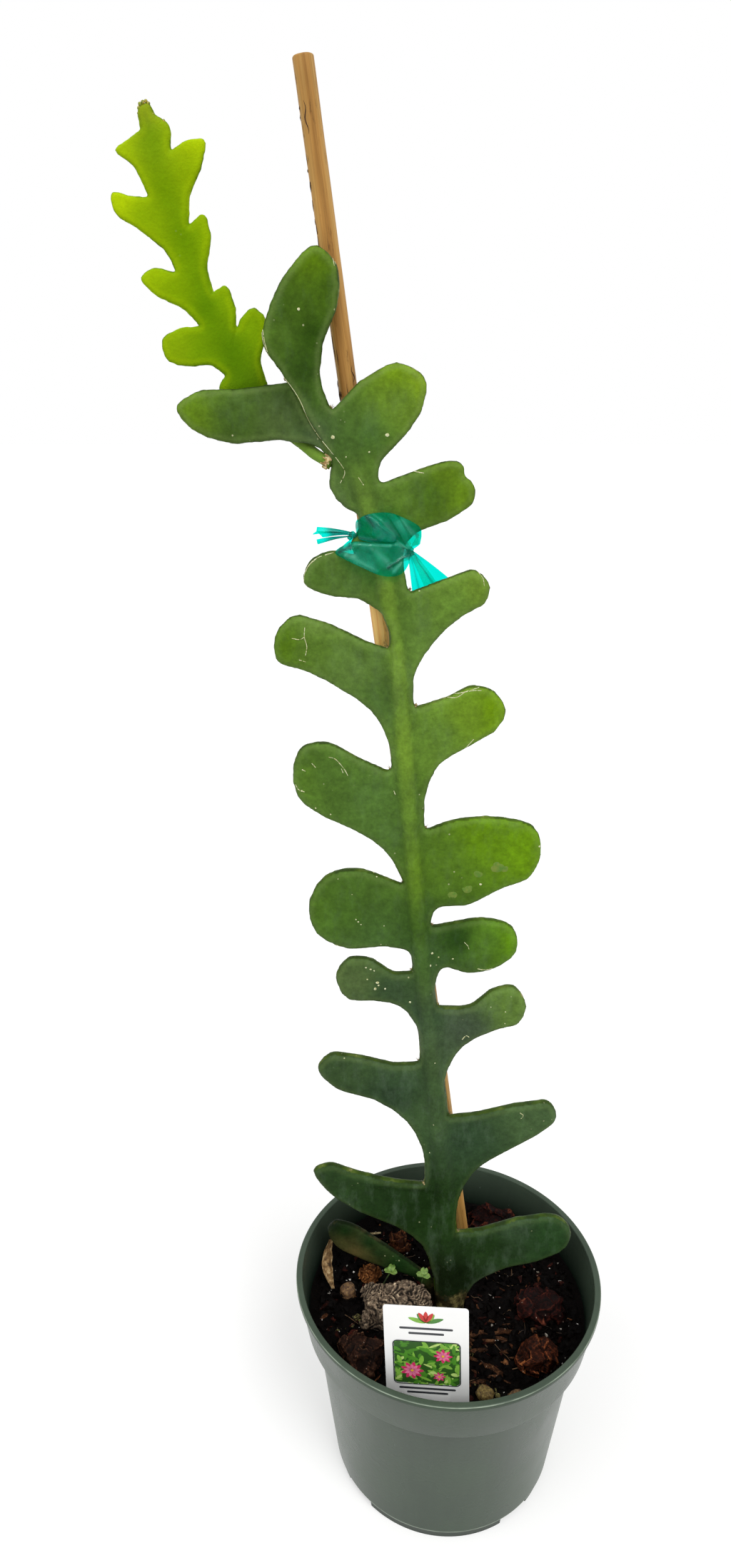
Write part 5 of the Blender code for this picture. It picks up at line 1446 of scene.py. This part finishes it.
redBark = chipMaterial("wetPineBark", ("#0B0403", "#2A0F09", "#54231A", "#93502F"), 0.26)
tanBark = chipMaterial("dryPineBark", ("#1E0F08", "#5A3520", "#8A5D38", "#C79C6C"), 0.5)
peat = soilMaterial()


def makeChips():
    draw = random.Random(47)
    for name, material, count, biggest in (("redBarkChips", redBark, mix["chips"] * 3 // 4, 10.0),
                                           ("tanBarkChips", tanBark, mix["chips"] // 4, 6.5)):
        bm = bmesh.new()
        for x, y in scatter(draw, count, 3.5, 64.0):
            size = 2.5 + (biggest - 2.5) * draw.random() ** 1.8
            addShard(bm, draw, x, y, size, draw.uniform(0.25, 0.6), draw.uniform(0.2, 0.45))
        dress(newPiece(name, bm, material, sharp=25), "growing_mix")


def makeSlivers(draw):
    # split bark lying in front of the stem, most of it across the view
    spanX, spanY = mix["sliverPatch"]
    bm = bmesh.new()
    for _ in range(mix["slivers"]):
        x, y = draw.uniform(*spanX), draw.uniform(*spanY)
        size, angle = draw.uniform(5, 12), draw.gauss(-0.15, 0.35)
        made = []
        for _ in range(14):
            out = Vector([draw.gauss(0, 1) for _ in range(3)]).normalized()
            local = Vector((out.x * size / 2, out.y * size * 0.13, out.z * size * 0.11))
            turned = Matrix.Rotation(angle, 4, "Z") @ Matrix.Rotation(draw.gauss(0, 0.05), 4, "Y") @ local
            place = Vector((x, y, soilLine / mm + mixHeight(x, y) + 0.5))
            made.append(bm.verts.new((turned + place) * mm))
        wrapHull(bm, made)
    split = chipMaterial("splitPineBark", ("#0E0704", "#3A2214", "#6E4A30", "#B08A62"), 0.25)
    dress(newPiece("barkSlivers", bm, split, sharp=25), "growing_mix")


def makeMoss(draw):
    # Crumbs with cushion moss on them: dull, soft and olive over brown.
    moss = grainyFinish("mossyCrumbs", "#6E6A34", 0.9, 1.2, 5.0,
                        [(0.36, "#1C160B"), (0.5, "#59502A"), (0.62, "#8E8A4A")], relief=0.6, strength=0.8)
    bm = bmesh.new()
    for middleX, middleY in mix["mossAt"]:
        for _ in range(7):
            x, y = draw.gauss(middleX, 1.8), draw.gauss(middleY, 1.8)
            if clearOfLabel(x, y, 2.5):
                addShard(bm, draw, x, y, draw.uniform(1.5, 3.8), 0.8, 0.7)
    dress(newPiece("mossyCrumbs", bm, moss, sharp=50), "growing_mix")


def makePerlite():
    # Expanded perlite: white, matt and full of pits.
    white = newMaterial("perlite", "#D9D6CE", 0.9)
    where = addNode(white, "TexCoord")["Object"]
    pits = addNode(white, "TexVoronoi", {"Vector": where, "Scale": per(0.5)})["Distance"]
    stain = addNode(white, "TexNoise", {"Vector": where, "Scale": per(9), "Detail": 3.0})[0]
    feed(white, {"Base Color": addNode(white, "ValToRGB", {"Fac": stain},
                                       [(0.35, "#7E7567"), (0.55, "#E6E2DA")])[0],
                 "Normal": addNode(white, "Bump", {"Height": pits, "Distance": 0.0004})[0]})
    draw = random.Random(53)
    bm = bmesh.new()
    for x, y in scatter(draw, mix["perlite"], 1.5):
        addShard(bm, draw, x, y, 0.6 + 2.2 * draw.random() ** 3, draw.uniform(0.7, 1.0), 0.8)
    dress(newPiece("perliteGrains", bm, white, sharp=50), "growing_mix")


def makeFibres():
    # Coir and root fibres: thin, pale brown and bent.
    coir = grainyFinish("coirFibre", "#6B4A2C", 0.8, 5, 2.0, [(0.35, "#1A0F08"), (0.65, "#6A4E30")])
    draw = random.Random(61)
    bm = bmesh.new()
    for x, y in scatter(draw, mix["fibres"], 6.0, 57.0):
        angle, length, bend = draw.uniform(0, math.tau), draw.uniform(4, 13), draw.uniform(-0.5, 0.5)
        line = []
        for k in range(6):
            u = k / 5 - 0.5
            px = x + length * (u * math.cos(angle) + bend * u * u * math.sin(angle))
            py = y + length * (u * math.sin(angle) - bend * u * u * math.cos(angle))
            high = soilLine / mm + mixHeight(px, py) + 0.5 + 0.5 * draw.random()
            line.append(Vector((px, py, high)) * mm)
        addTube(bm, line, (draw.uniform(0.12, 0.3) * mm, 0.1 * mm), 5)
    dress(newPiece("mixFibres", bm, coir, sharp=0), "growing_mix")


makeSoil(peat)
makeCrumbs(peat)
makeChips()
sliverDraw = random.Random(71)
makeSlivers(sliverDraw)
makeMoss(sliverDraw)
makePerlite()
makeFibres()
print("potting mix")


# What lies on the mix

def carve(p, relief):
    # relief is a list of (kind, feature size, height) in millimetres
    lift = 0.0
    for kind, size, height in relief:
        q = p / (size * mm)
        if kind == "ridges":
            lift += height * (0.4 - 2 * abs(noise.noise(q)))
        elif kind == "flakes":      # layers broken off in steps
            q = Vector((q.x, q.y, 1.8 * q.z))
            lift += height * math.floor(4.5 * noise.noise(q) + 0.8 * noise.noise(q * 3.1)) / 3
        elif kind == "facets":      # broken faces, each tilted its own way
            spot = noise.voronoi(q)[1][0]
            tilt = noise.cell_vector(spot * 9.7) - Vector((0.5, 0.5, 0.5))
            lift += height * ((q - spot).dot(tilt) * 2.4 + tilt.x)
        elif kind == "scales":      # thin layers, each one's edge standing over the next
            rise = 3.6 * noise.noise(q) + 0.7 * noise.noise(q * 2.7)
            lift += height * (rise - math.floor(rise))
        elif kind == "plates":      # plates with crevices between them
            near = noise.voronoi(q + 0.3 * noise.noise_vector(q * 1.6))[0]
            lift += height * (min(1.0, 3.4 * (near[1] - near[0])) - 1)
        else:
            lift += height * noise.noise(q)
    return lift


def makeLump(node, name, slot, material, cuts, relief, crisp=0):
    bm = mergedCopy(node)
    bmesh.ops.subdivide_edges(bm, edges=bm.edges[:], cuts=cuts, use_grid_fill=True)
    if not crisp:
        for _ in range(2):
            bmesh.ops.smooth_vert(bm, verts=bm.verts, factor=0.5, use_axis_x=True, use_axis_y=True,
                                  use_axis_z=True)
    bm.normal_update()
    lifts = [carve(v.co, relief) for v in bm.verts]
    for v, move in [(v, v.normal * lift * mm) for v, lift in zip(bm.verts, lifts)]:
        v.co += move
    # edges that stand proud, and hollows between them, which the materials paint lighter and darker as
    # painted highlight and painted shade
    bm.normal_update()
    proud = []
    for v in bm.verts:
        around = [e.other_vert(v).co for e in v.link_edges]
        bend = (v.co - sum(around, Vector()) / len(around)).dot(v.normal) / mm
        proud.append(min(1.0, max(0.0, 0.5 + (1.5 if cuts > 6 else 0.85) * bend)))
    piece = newPiece(name, bm, material, sharp=crisp)
    paint(piece, "raised", proud)
    dress(piece, slot, node)


def greyCorkMaterial():
    # A lump of old bark, weathered grey: deep crevices between pale worn plates, with painted shade in the
    # crevices and painted highlight on the plates.
    cork = newMaterial("weatheredBark", "#756555", 0.85, {"Specular IOR Level": 0.2})
    where = addNode(cork, "TexCoord")["Object"]
    grain = addNode(cork, "TexNoise", {"Vector": where, "Scale": per(1.6), "Detail": 7.0,
                                       "Roughness": 0.72})[0]
    broad = addNode(cork, "TexNoise", {"Vector": where, "Scale": per(8), "Detail": 4.0})[0]
    colour = addNode(cork, "ValToRGB", {"Fac": grain},
                     [(0.32, "#33281F"), (0.5, "#685848"), (0.62, "#9C8A72"), (0.74, "#E2D4B4")])[0]
    tone = addNode(cork, "ValToRGB", {"Fac": broad}, [(0.35, 0.5), (0.62, 1.15)])[0]
    colour = addNode(cork, "MixRGB", {"Fac": 0.8, "Color1": colour, "Color2": tone},
                     blend_type="MULTIPLY")[0]
    raised = addNode(cork, "Attribute", attribute_name="raised")["Fac"]
    # painted shade deep in the hollows and painted highlight on the proudest plates
    depth = addNode(cork, "ValToRGB", {"Fac": raised},
                    [(0.2, 0.04), (0.45, 0.6), (0.6, 1.1), (0.9, 2.2)])[0]
    colour = addNode(cork, "MixRGB", {"Fac": 0.95, "Color1": colour, "Color2": depth},
                     blend_type="MULTIPLY")[0]
    bump = addNode(cork, "Bump", {"Height": grain, "Strength": 0.9, "Distance": 0.0014})[0]
    feed(cork, {"Base Color": colour, "Normal": bump})
    return cork


def stoneMaterial(name, shades):
    # Small river stones and hard crumbs: dull, gritty and stained by the mix.
    stone = newMaterial(name, shades[1], 0.75)
    where = addNode(stone, "TexCoord")["Object"]
    grain = addNode(stone, "TexNoise", {"Vector": where, "Scale": per(1.3), "Detail": 6.0,
                                        "Roughness": 0.7})[0]
    colour = addNode(stone, "ValToRGB", {"Fac": grain},
                     [(0.34, shades[0]), (0.5, shades[1]), (0.7, shades[2])])[0]
    bump = addNode(stone, "Bump", {"Height": grain, "Strength": 0.6, "Distance": 0.0006})[0]
    feed(stone, {"Base Color": colour, "Normal": bump})
    return stone


carvedRed = chipMaterial("brokenPineBark", ("#040101", "#150706", "#3E1610", "#76402C"), 0.26, True)
flaky = [("facets", 9, 2.4), ("flakes", 6, 0.5), ("grain", 2.2, 0.35)]
makeLump("bark_grey", "greyBarkLump", "bark_grey", greyCorkMaterial(), 7,
         [("facets", 9, 2.0), ("scales", 8, 1.5), ("grain", 1.3, 0.3)], 40)
makeLump("bark_back_right", "backRightBark", "bark_red", carvedRed, 5, flaky, 30)
makeLump("bark_right", "rightBark", "bark_red", carvedRed, 5, flaky, 30)
makeLump("bark_front_right", "frontRightBark", "bark_red",
         chipMaterial("crumblyPineBark", ("#0A0402", "#2E140B", "#70381F", "#B4703F"), 0.3, True), 5,
         [("facets", 6.5, 2.2), ("flakes", 5, 0.5), ("grain", 1.6, 0.4)], 30)
makeLump("bark_front_left", "frontLeftBark", "bark_red",
         chipMaterial("dampPineBark", ("#0A0504", "#24150F", "#533425", "#A07A5C"), 0.32, True), 5,
         [("facets", 8, 2.4), ("scales", 14, 0.9), ("grain", 2.0, 0.35)], 30)
makeLump("bark_back_left", "backLeftBark", "bark_tan",
         chipMaterial("shreddedBark", ("#0A0503", "#34190D", "#6E4024", "#A87A4E"), 0.5, True), 6,
         [("facets", 4, 1.4), ("ridges", 3.0, 0.8), ("grain", 1.2, 0.3)], 30)
makeLump("bark_nugget", "barkNugget", "bark_tan",
         chipMaterial("corkyBark", ("#140A05", "#5C3419", "#A26A3A", "#D9AE78"), 0.6, True), 6,
         [("plates", 3.6, 1.6), ("ridges", 2.2, 0.4), ("grain", 1.1, 0.2)], 40)
yellowStone = stoneMaterial("yellowGravel", ("#241A0A", "#6A5528", "#A08C4E"))
brownStone = stoneMaterial("brownGravel", ("#1E120A", "#5E4226", "#9A7A4C"))
for node, name, stone in (("pebble_at_stem", "stemPebble", yellowStone),
                          ("pebble_left", "leftPebble", brownStone),
                          ("pebble_front_left", "frontLeftPebble", yellowStone),
                          ("pebble_front_right", "frontRightPebble", brownStone)):
    makeLump(node, name, "pebble", stone, 5, [("grain", 4, 0.45), ("grain", 1.5, 0.25)])
print("bark and stones")


# Seedlings, stalk and dead leaf

# each seedling's piece and node, its foot, its top, its height and how far its leaves reach
seedlings = [("leftSeedling", "weed_sprout_left", (-35.0, 5.6), (-28.4, 3.4), 19.5, 4.4),
             ("rightSeedling", "weed_sprout_right", (-14.0, 1.4), (-12.0, -1.4), 22.0, 4.6)]
deadLeaf = {"foot": (-58.5, 9.0, 1.2), "tip": (-60.0, 27.0, 16.5), "width": 4.8, "curl": 2.6, "twist": 1.5}
stalk = {"line": [(-46, 44, 1.2), (-41, 45.6, 1.5), (-37, 46, 1.6), (-33, 47, 1.2)], "radii": (0.75, 0.5)}


def makeSeedlings():
    # Cress-like seedlings: thin, bright and a little translucent, on darker stalks.
    leafSkin = grainyFinish("seedlingLeaf", "#6E8F3C", 0.55, 1.2, 3.0, [(0.3, "#3F5E1E"), (0.7, "#7E9C48")],
                            more={"Subsurface Weight": 0.15, "Subsurface Scale": 0.001})
    stalkSkin = grainyFinish("seedlingStalk", "#34431D", 0.6, 3, 2.0, [(0.35, "#1E2A12"), (0.7, "#465A26")])
    for name, node, foot, top, height, reach in seedlings:
        low = Vector((*foot, soilLine / mm - 1.5))
        high = Vector((*top, soilLine / mm + height))
        middle = low.lerp(high, 0.5) + Vector((-0.5, 0.4, 0))
        bm = bmesh.new()
        addTube(bm, [p * mm for p in curveThrough([low, middle, high])], (0.32 * mm, 0.22 * mm), 8)
        for f in bm.faces:
            f.material_index = 1
        for number, angle in enumerate((75, 195, 315)):
            turn = (Matrix.Rotation(math.radians(angle), 4, "Z")
                    @ Matrix.Rotation(math.radians(-14), 4, "Y"))
            made = bmesh.ops.create_grid(bm, x_segments=8, y_segments=6, size=0.5)["verts"]
            for v in made:
                u, w = v.co.x + 0.5, v.co.y * 2
                outline = math.sin(math.pi * (0.03 + 0.9 * u) ** 0.8) ** 0.55
                notch = 0.12 * reach * (1 - abs(w)) * ease((u - 0.7) / 0.3)
                local = Vector((u * reach * 0.85 - notch, w * outline * reach * 0.42,
                                0.35 * w * w + 0.5 * math.sin(math.pi * u) - 0.2 * number))
                v.co = (high + turn @ local) * mm
        piece = newPiece(name, bm, leafSkin, stalkSkin, sharp=0)
        giveBody(piece, 0.22)
        dress(piece, "weed_leaf", node)


def makeDeadLeaf():
    # A dead leaf, dry and curled: papery, matt and ribbed along its length.
    paper = grainyFinish("deadLeaf", "#A58B5B", 0.85, 2.2, 6.0,
                         [(0.3, "#3A2814"), (0.5, "#8A6B42"), (0.7, "#CDB88C")], relief=0.6)
    foot, tip = Vector(deadLeaf["foot"]), Vector(deadLeaf["tip"])
    along = (tip - foot).normalized()
    across = along.cross(Vector((0, 0, 1))).normalized()
    normal = across.cross(along)
    bm = bmesh.new()
    for v in bmesh.ops.create_grid(bm, x_segments=30, y_segments=14, size=0.5)["verts"]:
        u, w = v.co.x + 0.5, v.co.y * 2
        wide = deadLeaf["width"] / 2 * (0.16 + math.sin(math.pi * (0.1 + 0.78 * u)))
        ragged = 1 + 0.16 * noise.noise(Vector((u * 7, w, 2)))
        bow = 1.4 * w * w * ragged
        ribs = 0.2 * math.cos(w * 7) + 0.4 * noise.noise(Vector((u * 5, w * 2, 0)))
        angle = deadLeaf["twist"] * (u - 0.5)
        out = across * math.cos(angle) + normal * math.sin(angle)
        p = foot.lerp(tip, u) + out * wide * w * ragged + normal * (bow + ribs) \
            - across * deadLeaf["curl"] * math.sin(math.pi * u)
        v.co = Vector((p.x * mm, p.y * mm, soilLine + p.z * mm))
    piece = newPiece("curledDeadLeaf", bm, paper, sharp=0)
    giveBody(piece, 0.3, offset=-1)
    dress(piece, "dry_leaf", "dried_leaf")


def makeStalk():
    # A dead grass stalk: pale, matt and blotched.
    straw = grainyFinish("dryStalk", "#B9A67A", 0.8, 1, 3.0, [(0.3, "#7A6540"), (0.7, "#CBB98C")])
    bm = bmesh.new()
    line = [Vector((x * mm, y * mm, soilLine + z * mm)) for x, y, z in curveThrough(stalk["line"])]
    addTube(bm, line, [r * mm for r in stalk["radii"]], 10)
    dress(newPiece("strawStalk", bm, straw), "straw", "straw_stalk")


makeSeedlings()
makeDeadLeaf()
makeStalk()
print("seedlings, dead leaf and stalk")


# Floor, light and camera

studio = {"floorWidth": 16.0, "paper": "#CBCBCA", "skyLight": 0.56, "lift": 0.45,
          # each lamp's strength, how many degrees wide it looks, and where it shines from
          "lamps": {"keyLight": (1.55, 26, (0.5, -0.9, 1.6)), "fillLight": (0.85, 50, (-0.9, -0.6, 1.2))},
          "aim": (0, 0, 0.2),
          "lens": 23.85, "cameraAt": (-0.0415, -0.3986, 0.5416), "cameraTilt": 68.25}


def seenDirectly(material):
    # 1 to the camera, also in a reflection or through a film, and 0 for the light that it sheds
    ray = addNode(material, "LightPath")
    seen = ray["Is Camera Ray"]
    for other in ("Is Glossy Ray", "Is Transmission Ray"):
        seen = addNode(material, "Math", {0: seen, 1: ray[other]}, operation="MAXIMUM")[0]
    return seen


def makeFloor():
    # White seamless paper laid flat, wide enough to meet the white all round; it glows a little to
    # the camera alone.
    paper = newMaterial("seamlessPaper", studio["paper"], 0.95, {"Specular IOR Level": 0.1})
    tree = paper.node_tree
    grain = addNode(paper, "TexNoise", {"Vector": addNode(paper, "TexCoord")["Object"],
                                        "Scale": per(1.5), "Detail": 2.0})[0]
    glowing = addNode(paper, "Math", {0: seenDirectly(paper), 1: studio["lift"]}, operation="MULTIPLY")[0]
    glow = addNode(paper, "Emission", {"Color": (1, 1, 1, 1), "Strength": glowing})[0]
    both = addNode(paper, "AddShader", {0: glow, 1: tree.nodes["Principled BSDF"].outputs[0]})[0]
    tree.links.new(both, tree.nodes["Material Output"].inputs["Surface"])
    feed(paper, {"Normal": addNode(paper, "Bump", {"Height": grain, "Strength": 0.05,
                                                   "Distance": 0.0005})[0]})
    bm = bmesh.new()
    bmesh.ops.create_grid(bm, x_segments=8, y_segments=8, size=studio["floorWidth"] / 2)
    newPiece("paperFloor", bm, paper, sharp=0)


def makeLamps():
    for name, (strength, spread, spot) in studio["lamps"].items():
        lamp = bpy.data.lights.new(name, "SUN")
        lamp.energy = strength
        lamp.angle = math.radians(spread)
        holder = bpy.data.objects.new(name, lamp)
        holder.location = spot
        beam = Vector(studio["aim"]) - Vector(spot)
        holder.rotation_euler = beam.to_track_quat("-Z", "Y").to_euler()
        scene.collection.objects.link(holder)


def makeWorld():
    # white to look at, and dimmer as a light
    world = bpy.data.worlds.new("studio")
    world.use_nodes = True
    strength = addNode(world, "MapRange", {"Value": seenDirectly(world), "To Min": studio["skyLight"],
                                           "To Max": 1.0})[0]
    background = world.node_tree.nodes["Background"]
    world.node_tree.links.new(strength, background.inputs["Strength"])
    background.inputs["Color"].default_value = (1, 1, 1, 1)
    scene.world = world


def makeCamera():
    lens = bpy.data.cameras.new("camera")
    lens.lens = studio["lens"]
    lens.clip_start = 0.01
    camera = bpy.data.objects.new("camera", lens)
    camera.location = studio["cameraAt"]
    camera.rotation_euler = (math.radians(studio["cameraTilt"]), 0, 0)
    scene.collection.objects.link(camera)
    scene.camera = camera


makeFloor()
makeLamps()
makeWorld()
makeCamera()
scene.view_settings.view_transform = "Standard"
